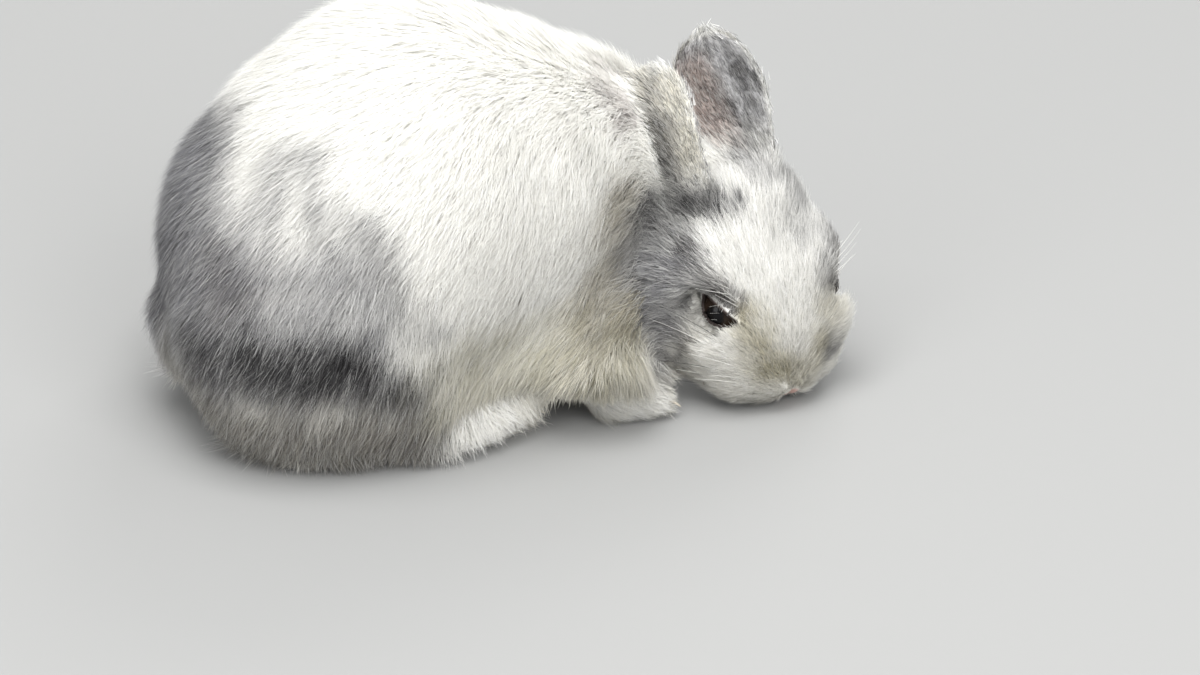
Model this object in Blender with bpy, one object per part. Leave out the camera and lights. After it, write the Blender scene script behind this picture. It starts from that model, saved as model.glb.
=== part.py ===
"""A rabbit at graze: body crouched, head turned to its right and lowered until the muzzle
reaches the floor. Metres, +X the way the body faces, +Y its left, +Z up, soles on z = 0.

Every solid goes out to the tips of the coat. The whole animal is one blended form, and
thin cuts part it into named pieces; ears and eyes are solids of their own."""

import math

import bmesh
import bpy
from mathutils import Matrix, Vector

for old in list(bpy.data.objects):
    bpy.data.objects.remove(old, do_unlink=True)

# Everything below is in millimetres until it reaches a mesh.
MM = 0.001

# ---------------------------------------------------------------- driving dimensions
GAP = 0.35                  # clearance between neighbouring pieces
VOXEL = 2.4                 # grain of the blended form before it is smoothed
SMOOTH_STEPS = 22
BODY_TRIANGLES = 2900       # of the whole animal before it is parted

NOSE_TIP = Vector((141.5, -29.0, 3.6))
HEAD_YAW = -63.0            # degrees from +X, so turned to the animal's right
HEAD_PITCH = 54.0           # degrees nose-down

EYE_RADIUS = 8.3
EYE_BACK, EYE_SIDE, EYE_UP = 38.0, 19.0, 8.5

EAR_WIDTH = 34.0
EAR_THICK = 5.0
EAR_BACK, EAR_UP = 78.0, 10.0
EAR_ROOT_DEPTH = 6.0        # how far the stem starts inside the coat of the crown

HIND_FOOT_TOP = 12.0
THIGH_INSIDE = 21.0         # from the mid-plane to a thigh's inner face
NECK_POINT = Vector((90, 13, 84))
NECK_NORMAL = Vector((0.80, 0.02, 0.60))

# ---------------------------------------------------------------- frame of the head
yaw, pitch = math.radians(HEAD_YAW), math.radians(HEAD_PITCH)
FORWARD = Vector((
    math.cos(pitch) * math.cos(yaw),
    math.cos(pitch) * math.sin(yaw),
    -math.sin(pitch),
))
RIGHT = Vector((math.sin(yaw), -math.cos(yaw), 0.0))
DORSAL = RIGHT.cross(FORWARD)
HEAD_AXES = Matrix((-FORWARD, RIGHT, DORSAL)).transposed()
UPRIGHT = Matrix.Identity(3)


def in_head(back, right, up):
    """World point of a place given back from the nose, to the right and up from the muzzle."""
    return NOSE_TIP + HEAD_AXES @ Vector((back, right, up))


# ---------------------------------------------------------------- building blocks
def new_object(name, bm):
    mesh = bpy.data.meshes.new(name)
    bm.to_mesh(mesh)
    bm.free()
    obj = bpy.data.objects.new(name, mesh)
    bpy.context.scene.collection.objects.link(obj)
    return obj


def guide(obj):
    """A shape that only cuts or is copied."""
    obj.hide_render = True
    obj.display_type = "WIRE"
    return obj


def placing(centre, sizes, axes):
    return Matrix.Translation(Vector(centre) * MM) @ (axes @ Matrix.Diagonal(Vector(sizes) * MM)).to_4x4()


def add_ball(bm, centre, radii, axes=UPRIGHT, segments=32, rings=20):
    """An ellipsoid, its radii along the columns of axes."""
    placed = placing(centre, radii, axes)
    bmesh.ops.create_uvsphere(bm, u_segments=segments, v_segments=rings, radius=1.0, matrix=placed)


def add_limb(bm, start, end, start_radius, end_radius):
    """A tapered limb with round ends: the hull of two balls."""
    balls = bmesh.new()
    for centre, radius in ((start, start_radius), (end, end_radius)):
        add_ball(balls, centre, (radius,) * 3, segments=16, rings=10)
    hull = bmesh.new()
    for vert in balls.verts:
        hull.verts.new(vert.co)
    balls.free()
    bmesh.ops.convex_hull(hull, input=hull.verts)
    loose = [vert for vert in hull.verts if not vert.link_faces]
    bmesh.ops.delete(hull, geom=loose, context="VERTS")
    made = bpy.data.meshes.new("limb")
    hull.to_mesh(made)
    hull.free()
    bm.from_mesh(made)
    bpy.data.meshes.remove(made)


def box_object(name, centre, sides, axes=UPRIGHT):
    bm = bmesh.new()
    bmesh.ops.create_cube(bm, size=1.0, matrix=placing(centre, sides, axes))
    return new_object(name, bm)


def boolean(obj, operation, other):
    modifier = obj.modifiers.new(operation.title(), "BOOLEAN")
    modifier.operation = operation
    modifier.object = other
    modifier.solver = "EXACT"


def evaluated_copy(obj, name):
    """A plain mesh object holding what the modifiers of obj make."""
    graph = bpy.context.evaluated_depsgraph_get()
    graph.update()
    mesh = bpy.data.meshes.new_from_object(obj.evaluated_get(graph), depsgraph=graph)
    mesh.name = name
    made = bpy.data.objects.new(name, mesh)
    bpy.context.scene.collection.objects.link(made)
    return made


def about_z(degrees):
    return Matrix.Rotation(math.radians(degrees), 3, "Z")


# ---------------------------------------------------------------- forms of the body
def add_trunk(bm):
    """A high rounded back, its crest a little behind the middle, on a soft belly; then the
    shoulders and nape, where the spine bends left before the head turns right."""
    for centre, radii in (
        ((-22, 0, 44), (70, 74, 50)),         # rump, low
        ((-16, 0, 66), (74, 77, 71.5)),
        ((-7, 0, 75), (72.5, 75, 75.5)),
        ((6, 1, 82), (73, 70, 78.5)),         # crest of the back
        ((34, 5, 82), (58, 61, 66)),
        ((-4, 0, 34), (78, 62, 31)),          # belly
        ((42, -3, 38), (42, 50, 30)),
        ((60, 12, 80), (46, 50, 55)),         # shoulders
        ((76, 26, 84), (32, 35, 38)),         # nape
        ((76, 4, 42), (31, 40, 32)),          # chest
    ):
        add_ball(bm, centre, radii)
    for side in (-1, 1):
        add_limb(bm, (52, side * 24 + 6, 70), (60, side * 32 + 3, 36), 27, 22)


def add_hind_leg(bm, side):
    """A thigh folded over the long foot, whose toes turn inwards."""
    add_ball(bm, (-31, side * 36, 48), (56, 42, 54))
    add_ball(bm, (-14, side * 42, 44), (44, 33, 45))
    add_ball(bm, (0, side * 46, 32), (25, 24, 33), about_z(side * -8))
    add_limb(bm, (-34, side * 50, 10), (22, side * 44, 10), HIND_FOOT_TOP, HIND_FOOT_TOP)
    add_limb(bm, (22, side * 44, 10), (37, side * 34, 9.5), HIND_FOOT_TOP, 10.5)
    add_ball(bm, (28, side * 37, 15), (21, 12, 10), about_z(side * -25))


def add_foreleg(bm, elbow, paw):
    """From the elbow under the chest to a paw flat on the floor."""
    add_limb(bm, elbow, paw + Vector((-8, 0, 14)), 20, 12)
    add_limb(bm, paw + Vector((-16, -1, 9)), paw + Vector((0, 0, 8.5)), 10.5, 10.5)


def add_head(bm):
    """Round cranium, full cheeks, short broad muzzle with two whisker lobes, and a chin."""
    for back, right, up, *radii in (
        (57, 0, 1, 31, 30, 27),               # cranium
        (67, -4, 4, 25, 27, 26),              # crown
        (42, 0, 4, 30, 31, 23),               # forehead
        (27, 0, 1, 22, 31, 22),               # bridge and cheeks
        (15, 0, -3, 16, 23, 17),              # muzzle
        (6, 0, 1, 9, 11, 10),                 # nose
        (12, 0, -14, 12, 12, 8),              # chin
    ):
        add_ball(bm, in_head(back, right, up), radii, HEAD_AXES)
    for side in (-1, 1):
        for back, right, up, *radii in (
            (35, 19, -8, 25, 18, 18),         # jaw muscle
            (17, 15, -3, 16, 15, 14),         # whisker lobe
            (29, 19, 2, 18, 16, 16),          # cheek
            (47, 20, 11, 19, 15, 15),         # brow
        ):
            add_ball(bm, in_head(back, side * right, up), radii, HEAD_AXES)


def blended_body():
    """All forms as one smooth skin, cut flat where it meets the floor."""
    bm = bmesh.new()
    add_trunk(bm)
    for side in (-1, 1):
        add_hind_leg(bm, side)
    add_foreleg(bm, Vector((62, -34, 34)), Vector((88, -31, 0)))
    add_foreleg(bm, Vector((62, 40, 34)), Vector((88, 28, 0)))
    # The tail is a short upright scut pressed to the rump.
    add_ball(bm, (-83, 3, 30), (10, 13, 18), Matrix.Rotation(math.radians(-12), 3, "Y"))
    # The neck runs from the nape to the back of the skull.
    add_limb(bm, (80, 24, 78), in_head(72, -2, -6), 33, 21)
    add_head(bm)

    blend = guide(new_object("blend", bm))
    remesh = blend.modifiers.new("Blend", "REMESH")
    remesh.mode = "VOXEL"
    remesh.voxel_size = VOXEL * MM
    relax = blend.modifiers.new("Relax", "SMOOTH")
    relax.factor = 0.5
    relax.iterations = SMOOTH_STEPS
    fine = evaluated_copy(blend, "fine_form")
    triangles = sum(len(face.vertices) - 2 for face in fine.data.polygons)
    fewer = fine.modifiers.new("Fewer", "DECIMATE")
    fewer.ratio = BODY_TRIANGLES / triangles
    boolean(fine, "DIFFERENCE", guide(box_object("floor_cut", (0, 0, -50), (900, 900, 100))))
    guide(fine)
    return guide(evaluated_copy(fine, "body_form"))


# ---------------------------------------------------------------- volumes that part it
def cylinder_volume(name, centre, radii, start, end, axis, grow):
    """An elliptic cylinder with a chamfered inner end; axis is 'X' or 'Y', radii across it."""
    steps = 24
    inwards = -1 if end > start else 1
    inner = start + inwards * grow
    stations = ((inner, 0.80), (inner - inwards * 3, 0.93), (inner - inwards * 8, 1.0), (end, 1.0))
    bm = bmesh.new()
    rings = []
    for place, share in stations:
        ring = []
        for step in range(steps):
            angle = 2 * math.pi * step / steps
            across = centre[0] + (radii[0] + grow) * share * math.cos(angle)
            up = centre[1] + (radii[1] + grow) * share * math.sin(angle)
            point = (across, place, up) if axis == "Y" else (place, across, up)
            ring.append(bm.verts.new(Vector(point) * MM))
        rings.append(ring)
    for first, second in zip(rings, rings[1:]):
        for i in range(steps):
            j = (i + 1) % steps
            bm.faces.new((first[i], first[j], second[j], second[i]))
    bm.faces.new(rings[0])
    bm.faces.new(rings[-1])
    bmesh.ops.recalc_face_normals(bm, faces=bm.faces)
    return guide(new_object(name, bm))


def limb_volume(name, start, end, start_radius, end_radius):
    bm = bmesh.new()
    add_limb(bm, start, end, start_radius, end_radius)
    return guide(new_object(name, bm))


def foot_volume(side, grow):
    return limb_volume("foot_volume", (-34, side * 52, 2), (40, side * 45, 2), 16 + grow, 16 + grow)


def thigh_volume(side, grow):
    return cylinder_volume("thigh_volume", (-30, 46), (53, 54), side * THIGH_INSIDE, side * 120, "Y", grow)


def foreleg_volume(side, grow):
    inner = 9 if side > 0 else -15
    return cylinder_volume("foreleg_volume", (76, 4), (27, 31), inner, side * 110, "Y", grow)


def tail_volume(grow):
    return cylinder_volume("tail_volume", (3, 30), (15, 21), -80, -130, "X", grow)


def head_volume(grow):
    return limb_volume("head_volume", in_head(50, 0, 0), in_head(-4, 0, 0), 41 + grow, 42 + grow)


def neck_volume(side, grow):
    """A large box on one side of the plane between neck and trunk, standing off it by grow."""
    normal = NECK_NORMAL.normalized() * side
    other = normal.cross(Vector((0, 1, 0))).normalized()
    axes = Matrix((normal, other, normal.cross(other))).transposed()
    return guide(box_object("neck_volume", NECK_POINT + normal * (200 + grow), (400, 500, 500), axes))


def eye_socket(side):
    """The seat of an eye and its opening through the coat."""
    outward = (RIGHT * side + DORSAL * 0.20 + FORWARD * 0.12).normalized()
    seat = in_head(EYE_BACK, side * EYE_SIDE, EYE_UP)
    return limb_volume("eye_socket", seat, seat + outward * 16, EYE_RADIUS + GAP, EYE_RADIUS + 1)


def piece(name, source, keep=(), remove=()):
    """What source holds inside every keep volume and outside every remove volume."""
    made = evaluated_copy(source, name)
    made.hide_render = False
    for volume in keep:
        boolean(made, "INTERSECT", volume)
    for volume in remove:
        boolean(made, "DIFFERENCE", volume)
    return made


# ---------------------------------------------------------------- ears and eyes
def ear_half_width(t):
    """Narrow stem, broad middle, rounded tip; t runs from 0 at the root to 1."""
    broadest = 0.55
    half = EAR_WIDTH / 2 * (0.56 + 0.44 * math.sin(math.pi / 2 * min(1.0, t / broadest)))
    if t > broadest:
        half *= math.sqrt(max(0.0, 1 - ((t - broadest) / (1.005 - broadest)) ** 2.2))
    return max(half, 2.2)


def ear_form(name, root, tip, opening, curl, bow):
    """A hollow leaf from root to tip, bowed to one side. Its section is an arc open towards
    the opening, and the arc closes up to curl degrees each way at the root."""
    rows, columns = 13, 8
    length = (tip - root).length
    along = (tip - root).normalized()
    across = along.cross(Vector(opening)).normalized()
    face = across.cross(along)
    bm = bmesh.new()
    rings = []
    for row in range(rows + 1):
        t = row / rows
        half = ear_half_width(t)
        spread = math.radians(curl * (1 - 0.55 * t))
        radius = half / math.sin(spread)
        thick = EAR_THICK * (1 - 0.3 * t) * min(1.0, 0.35 + half / 12)
        middle = root + along * (length * t) + (Vector(bow) - face * 3.0) * math.sin(math.pi * t)
        ring = []
        for layer, backwards in ((-0.5, False), (0.5, True)):
            for column in range(columns + 1):
                u = 2 * column / columns - 1
                angle = spread * (-u if backwards else u)
                rim = math.sqrt(max(0.0, 1 - abs(u) ** 4))
                reach = radius - layer * thick * (0.25 + 0.75 * rim)
                depth = radius * math.cos(spread * 0.6) - reach * math.cos(angle)
                point = middle + across * (reach * math.sin(angle)) + face * depth
                ring.append(bm.verts.new(point * MM))
        rings.append(ring)
    around = len(rings[0])
    for low, high in zip(rings, rings[1:]):
        for i in range(around):
            j = (i + 1) % around
            bm.faces.new((low[i], low[j], high[j], high[i]))
    bm.faces.new(rings[0][::-1])
    bm.faces.new(rings[-1])
    bmesh.ops.triangulate(bm, faces=bm.faces)
    bmesh.ops.recalc_face_normals(bm, faces=bm.faces)
    return guide(new_object(name, bm))


def ear_seat(body):
    """The body swollen by the gap, so that an ear trimmed by it stands clear."""
    seat = evaluated_copy(body, "ear_seat")
    swell = seat.modifiers.new("Swell", "DISPLACE")
    swell.strength = GAP * 1.3 * MM
    swell.mid_level = 0.0
    return guide(seat)


def eye(name, side):
    bm = bmesh.new()
    add_ball(bm, in_head(EYE_BACK, side * EYE_SIDE, EYE_UP), (EYE_RADIUS,) * 3, HEAD_AXES, 16, 10)
    return new_object(name, bm)


# ---------------------------------------------------------------- materials and shading
FUR_COLOURS = {
    "trunk": (0.86, 0.86, 0.85),
    "neck": (0.66, 0.64, 0.60),
    "head": (0.84, 0.83, 0.80),
    "tail": (0.50, 0.51, 0.53),
    "haunch": (0.46, 0.47, 0.49),
    "hind": (0.80, 0.78, 0.72),
    "foreleg": (0.82, 0.80, 0.75),
    "ear": (0.48, 0.47, 0.46),
}


def material(name, colour, roughness, sheen):
    made = bpy.data.materials.new(name)
    made.use_nodes = True
    made.diffuse_color = (*colour, 1)
    surface = made.node_tree.nodes["Principled BSDF"]
    surface.inputs["Base Color"].default_value = (*colour, 1)
    surface.inputs["Roughness"].default_value = roughness
    surface.inputs["Sheen Weight"].default_value = sheen
    return made


def finish(obj):
    """Its own material, and smooth shading."""
    if obj.name.startswith("eye"):
        look = material(obj.name, (0.03, 0.018, 0.012), 0.08, 0.0)
    else:
        look = material(obj.name, FUR_COLOURS[obj.name.split("_")[0]], 0.9, 0.3)
    obj.data.materials.clear()
    obj.data.materials.append(look)
    obj.data.shade_smooth()


# ---------------------------------------------------------------- the animal
body = blended_body()
pieces = []
legs = []
for side, word in ((1, "left"), (-1, "right")):
    foot, thigh, foreleg = foot_volume(side, GAP), thigh_volume(side, GAP), foreleg_volume(side, GAP)
    legs += [foot, thigh, foreleg]
    pieces.append(piece("hind_foot_" + word, body, [foot_volume(side, 0)]))
    pieces.append(piece("haunch_" + word, body, [thigh_volume(side, 0)], [foot]))
    pieces.append(piece("foreleg_" + word, body, [foreleg_volume(side, 0)]))

head_clear = head_volume(GAP)
forelegs = [volume for volume in legs if volume.name.startswith("foreleg")]
sockets = [eye_socket(1), eye_socket(-1)]
pieces.append(piece("head", body, [head_volume(0)], sockets + forelegs))
pieces.append(piece("neck", body, [neck_volume(1, GAP / 2)], [head_clear] + legs))
pieces.append(piece("trunk", body, [neck_volume(-1, GAP / 2)], [head_clear, tail_volume(GAP)] + legs))
pieces.append(piece("tail", body, [tail_volume(0)]))

# The right ear stands with its back to the animal's right, and the left ear opens that way.
seat = ear_seat(body)
for word, sideways, rise, opening, curl, bow in (
    ("right", 16, Vector((-13, 6, 54.5)), (0.66, 0.75, 0), 62, (-4.5, 0, 0)),
    ("left", -12, Vector((-19, 10, 58.5)), (-0.47, -0.88, 0), 58, (-1.5, 0, 0)),
):
    root = in_head(EAR_BACK - EAR_ROOT_DEPTH, sideways, EAR_UP - 2)
    tip = in_head(EAR_BACK, sideways, EAR_UP) + rise
    leaf = ear_form("ear_form_" + word, root, tip, opening, curl, bow)
    pieces.append(piece("ear_" + word, leaf, [], [seat]))

pieces.append(eye("eye_right", 1))
pieces.append(eye("eye_left", -1))

for obj in pieces:
    finish(obj)

# The origin is on the floor under the middle of the whole animal.
graph = bpy.context.evaluated_depsgraph_get()
graph.update()
corners = [Vector(corner) for obj in pieces for corner in obj.evaluated_get(graph).bound_box]
middle = [(min(c[axis] for c in corners) + max(c[axis] for c in corners)) / 2 for axis in (0, 1)]
for obj in bpy.data.objects:
    obj.location -= Vector((*middle, 0))
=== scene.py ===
"""Looks of the grazing rabbit: one seamless skin, a coat of solid hair locks, eyes, claws and
whiskers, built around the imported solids. Working unit: millimetres, turned to metres when a
mesh is made. World axes: +X the way the body faces, +Y its left, +Z up, soles on z = 0."""

import math

import bmesh
import bpy
import numpy as np
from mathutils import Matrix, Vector
from mathutils.bvhtree import BVHTree


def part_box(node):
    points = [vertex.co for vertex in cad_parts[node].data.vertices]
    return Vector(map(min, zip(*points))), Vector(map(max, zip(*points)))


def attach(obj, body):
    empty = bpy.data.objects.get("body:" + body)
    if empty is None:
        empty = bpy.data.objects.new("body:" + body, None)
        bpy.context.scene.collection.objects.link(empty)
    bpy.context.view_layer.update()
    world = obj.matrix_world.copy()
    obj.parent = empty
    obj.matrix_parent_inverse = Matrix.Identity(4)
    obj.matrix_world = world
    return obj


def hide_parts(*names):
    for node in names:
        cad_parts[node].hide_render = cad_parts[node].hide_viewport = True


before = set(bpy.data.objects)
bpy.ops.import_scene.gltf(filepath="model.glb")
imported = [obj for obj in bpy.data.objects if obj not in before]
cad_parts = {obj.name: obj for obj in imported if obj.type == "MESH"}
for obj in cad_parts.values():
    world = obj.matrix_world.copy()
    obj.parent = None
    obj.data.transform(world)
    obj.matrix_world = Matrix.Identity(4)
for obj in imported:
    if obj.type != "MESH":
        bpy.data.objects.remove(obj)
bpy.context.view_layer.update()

MM = 0.001

# ---------------------------------------------------------------- driving values
FLESH = ("trunk", "neck", "head", "tail", "haunch_left", "haunch_right", "hind_foot_left",
         "hind_foot_right", "foreleg_left", "foreleg_right", "ear_left", "ear_right")
EYES = ("eye_left", "eye_right")

SKIN_VOXEL = 1.5
SEAM_CLOSING = {"ear": 0.3, "eye": 0.3}     # growth of a node that closes the cuts round it
SEAM_CLOSING_ELSEWHERE = 0.5
FACET_STEPS = 18            # rounds of smoothing that take away the facets of the solids
COLLAR_STEPS = 48           # rounds of smoothing where the neck meets its neighbours
LIE_STEPS = 60              # rounds that even the lie out, so that no whorl or parting stays
SOLE_CLEARANCE = 1.2        # of the skin over the floor, for the hair it rests on
WHISKER_CLEARANCE, CLAW_CLEARANCE = 0.3, 0.8

# What each part of the body wears. depth: skin below the solid's face. length, width: of a
# hair. density: hairs on a square millimetre.
COAT = {
    "trunk":     dict(depth=9.0, length=18.0, width=0.35, density=4.0),
    "haunch":    dict(depth=9.0, length=17.5, width=0.34, density=4.3),
    "neck":      dict(depth=7.5, length=15.0, width=0.35, density=3.9),
    "head":      dict(depth=3.8, length=11.0, width=0.30, density=5.6),
    "foreleg":   dict(depth=3.8, length=9.5, width=0.30, density=5.0),
    "hind_foot": dict(depth=2.8, length=8.5, width=0.30, density=5.0),
    "tail":      dict(depth=6.0, length=13.0, width=0.32, density=6.5),
    "ear":       dict(depth=1.1, length=4.6, width=0.26, density=6.5),
}
BLADES_PER_TUFT = 7
BLADE_STEPS = 2             # segments of a blade from its root to its tip
COAT_SHARE = 1.0
# How the blades vary: the first four as shares of what the skin gives them, the leans as slopes
# across the lie, the roll and the bow in radians.
LENGTHS, WIDTHS, RISES, CLUMPS = (0.72, 1.15), (0.75, 1.2), (0.55, 1.12), (0.7, 1.15)
TUFT_LEAN, BLADE_LEAN, BLADE_ROLL, BLADE_BOW = 0.16, 0.10, 0.24, 0.07
ROOT_DEPTH = 0.35           # of a blade's root below the skin
TIP_NARROWING = 0.72        # how much of its width a blade loses on its way to the tip
SHOWN_THROUGH = 0.47        # share of the translucent shader in a blade's surface
UV_PATCH = 0.003            # side of a tuft's patch on the skin's own unwrapping
TRUNK_SPLITS = (-62.0, -8.0)    # where the trunk's coat is parted into rear, middle and fore
EAR_SHADOW = 16.0           # within this distance of an ear the neck's hair is shorter
# Here the chest's hair fills the gap between the foreleg and the cheek.
CHEST_FRONT = (np.array((52.0, -26.0, 34.0)), np.array((62.0, -22.0, 18.0)))

EYE_RADIUS = 8.5
EYE_SLIT = math.radians(26.0)    # how far the front corner is raised towards the nose bridge
EYE_LONG, EYE_HIGH = 7.9, 3.1    # half sizes of the opening between the lids
LID_SETTLE = 0.28                # points this near to the opening's outline move on to it
LID_SPAN = (5.2, 0.8)            # beyond the outline the skin leaves the ball between these
EYE_LIFT = 0.9                   # how far the opening's middle lies above the ball's
# The ball stands this far out of its socket's centre, the far one with its fuller cheek.
EYE_FORTH = {"eye_right": 1.5, "eye_left": 2.7}

FEET = ("foreleg_left", "foreleg_right", "hind_foot_left", "hind_foot_right")
TOES = (-0.66, -0.22, 0.22, 0.66)   # across the foot, as shares of half its width
CLAW_LENGTH = 8.5

# The head's own frame: back from the nose tip, to the head's right, and up from the muzzle.
HEAD_YAW = math.radians(-63.0)
HEAD_PITCH = math.radians(54.0)
NOSE_TIP = np.array((104.5, -29.1, 3.6))
FORWARD = np.array((math.cos(HEAD_PITCH) * math.cos(HEAD_YAW),
                    math.cos(HEAD_PITCH) * math.sin(HEAD_YAW), -math.sin(HEAD_PITCH)))
RIGHT = np.array((math.sin(HEAD_YAW), -math.cos(HEAD_YAW), 0.0))
DORSAL = np.cross(RIGHT, FORWARD)
HEAD_AXES = np.stack((-FORWARD, RIGHT, DORSAL))

rng = np.random.default_rng(20)


def to_head(points):
    return (points - NOSE_TIP) @ HEAD_AXES.T


def from_head(places):
    return NOSE_TIP + np.asarray(places, float) @ HEAD_AXES


# ---------------------------------------------------------------- small numeric helpers
def unit(vectors):
    length = np.linalg.norm(vectors, axis=-1, keepdims=True)
    return vectors / np.maximum(length, 1e-9)


def flat_on(vectors, normals):
    """The part of each vector that lies in the surface, as a unit vector."""
    along = (vectors * normals).sum(-1, keepdims=True)
    return unit(vectors - along * normals)


def smoothstep(low, high, value):
    t = np.clip((value - low) / (high - low), 0.0, 1.0)
    return t * t * (3.0 - 2.0 * t)


def ripple(points, scale, seed, waves=10):
    """Smooth noise between about -1 and 1, with features about as wide as scale."""
    draw = np.random.default_rng(seed)
    directions = unit(draw.normal(size=(waves, 3)))
    sizes = draw.uniform(0.6, 1.7, waves) * 2.0 * math.pi / (2.0 * scale)
    phases = draw.uniform(0.0, 2.0 * math.pi, waves)
    total = np.zeros(len(points))
    for direction, size, phase in zip(directions, sizes, phases):
        total += np.sin(points @ direction * size + phase)
    return total / math.sqrt(waves * 0.5) * 0.6


def ripples(points, scale, seed):
    """Three ripples that differ, as a vector for each point."""
    return np.stack([ripple(points, scale, seed + k) for k in range(3)], axis=1)


def from_segment(points, start, end):
    """Distance of each point from the segment."""
    start, end = np.asarray(start, float), np.asarray(end, float)
    along = end - start
    share = np.clip(((points - start) @ along) / max(along @ along, 1e-9), 0.0, 1.0)
    return np.linalg.norm(points - start - share[:, None] * along, axis=1)


def mesh_points(mesh):
    """A mesh's points in millimetres."""
    points = np.empty(len(mesh.vertices) * 3)
    mesh.vertices.foreach_get("co", points)
    return points.reshape(-1, 3) / MM


def mesh_arrays(obj):
    """Points in millimetres and triangles of an object's evaluated mesh."""
    evaluated = obj.evaluated_get(bpy.context.evaluated_depsgraph_get())
    mesh = evaluated.to_mesh()
    mesh.calc_loop_triangles()
    faces = np.empty(len(mesh.loop_triangles) * 3, np.int32)
    mesh.loop_triangles.foreach_get("vertices", faces)
    points = mesh_points(mesh)
    evaluated.to_mesh_clear()
    return points, faces.reshape(-1, 3)


def stacked(parts):
    """Several sets of points and faces as one, and the number of the set each face is from."""
    points, faces, numbers, base = [], [], [], 0
    for number, (part_points, part_faces) in enumerate(parts):
        points.append(part_points)
        faces.append(part_faces + base)
        numbers += [number] * len(part_faces)
        base += len(part_points)
    return np.concatenate(points), np.concatenate(faces), np.array(numbers)


def search_tree(points, faces):
    return BVHTree.FromPolygons(points.tolist(), faces.tolist())


def nearest(tree, place):
    return np.array(tree.find_nearest(Vector(place))[0])


def merged(points, faces, grain=0.01):
    """The same triangles with the points that coincide made one."""
    cells = np.round(points / grain)
    _, first, index = np.unique(cells, axis=0, return_index=True, return_inverse=True)
    return points[first], index.reshape(-1)[faces]


def point_normals(points, faces):
    corners = points[faces]
    cross = np.cross(corners[:, 1] - corners[:, 0], corners[:, 2] - corners[:, 0])
    normals = np.zeros_like(points)
    for k in range(3):
        np.add.at(normals, faces[:, k], cross)
    return unit(normals)


class Neighbours:
    """Averages a value over the points that share an edge."""

    def __init__(self, count, faces):
        edges = np.concatenate([faces[:, [0, 1]], faces[:, [1, 2]], faces[:, [2, 0]]])
        edges = np.unique(np.sort(edges, axis=1), axis=0)
        self.a = np.concatenate([edges[:, 0], edges[:, 1]])
        self.b = np.concatenate([edges[:, 1], edges[:, 0]])
        self.count = count
        self.number = np.maximum(np.bincount(self.a, minlength=count), 1)

    def mean(self, values):
        if values.ndim == 1:
            return np.bincount(self.a, values[self.b], self.count) / self.number
        return np.stack([self.mean(values[:, k]) for k in range(values.shape[1])], axis=1)

    def smooth(self, values, steps, share=0.5):
        for _ in range(steps):
            values = values * (1.0 - share) + self.mean(values) * share
        return values

    def soft(self, mask, steps):
        """A mask with its edge smoothed over as many rounds."""
        return self.smooth(mask.astype(float), steps)

    def relax(self, points, share, rounds):
        """Draws each point towards its neighbours' mean, by its own share each round."""
        for _ in range(rounds):
            points = points + 0.5 * share[:, None] * (self.mean(points) - points)
        return points


def new_mesh(name, points, loops, starts):
    """A mesh from flat arrays. Points in millimetres."""
    mesh = bpy.data.meshes.new(name)
    mesh.vertices.add(len(points))
    mesh.vertices.foreach_set("co", (points * MM).astype(np.float32).ravel())
    mesh.loops.add(len(loops))
    mesh.loops.foreach_set("vertex_index", loops.astype(np.int32))
    mesh.polygons.add(len(starts))
    mesh.polygons.foreach_set("loop_start", starts.astype(np.int32))
    mesh.update(calc_edges=True)
    mesh.shade_smooth()
    return mesh


def even_mesh(name, points, faces):
    """A mesh whose faces all have as many corners."""
    count, corners = faces.shape
    return new_mesh(name, points, faces.ravel(), np.arange(count) * corners)


def new_object(name, data, material=None):
    obj = bpy.data.objects.new(name, data)
    bpy.context.scene.collection.objects.link(obj)
    if material is not None:
        obj.data.materials.append(material)
    return obj


def paint(mesh, name, colours):
    """A colour for each point, in linear values."""
    layer = mesh.color_attributes.new(name, "FLOAT_COLOR", "POINT")
    rgba = np.ones((len(colours), 4), np.float32)
    rgba[:, :3] = colours
    layer.data.foreach_set("color", rgba.ravel())


def linear(*levels):
    """Linear colour of display levels given from 0 to 255."""
    share = np.array(levels, float) / 255.0
    return np.where(share <= 0.04045, share / 12.92, ((share + 0.055) / 1.055) ** 2.4)


def blend(first, second, share):
    """Colours going from the first to the second as the share goes from 0 to 1."""
    share = np.asarray(share)[:, None]
    return first * (1.0 - share) + second * share


# ---------------------------------------------------------------- the solids
solid_points, solid_faces = {}, {}
for node in FLESH + EYES:
    solid_points[node], solid_faces[node] = merged(*mesh_arrays(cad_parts[node]))


def kind_of(node):
    return node.replace("_left", "").replace("_right", "")


def solids_of(nodes):
    return [(solid_points[node], solid_faces[node]) for node in nodes]


# ---------------------------------------------------------------- ears' own coordinates
EAR_OPENING = {"ear_right": np.array((0.66, 0.75, 0.0)), "ear_left": np.array((-0.47, -0.88, 0.0))}


def ear_frame(node):
    """Centre, axes (tip-ward, across, through) and half sizes of an ear, from its solid."""
    points = solid_points[node]
    centre = points.mean(0)
    _, _, axes = np.linalg.svd(points - centre, full_matrices=False)
    along = axes[0] * np.sign(axes[0][2])
    through = flat_on(EAR_OPENING[node], along)
    across = np.cross(along, through)
    axes = np.stack((along, across, through))
    local = (points - centre) @ axes.T
    return centre, axes, local.min(0), local.max(0)


EAR_FRAMES = {node: ear_frame(node) for node in EAR_OPENING}


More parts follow.
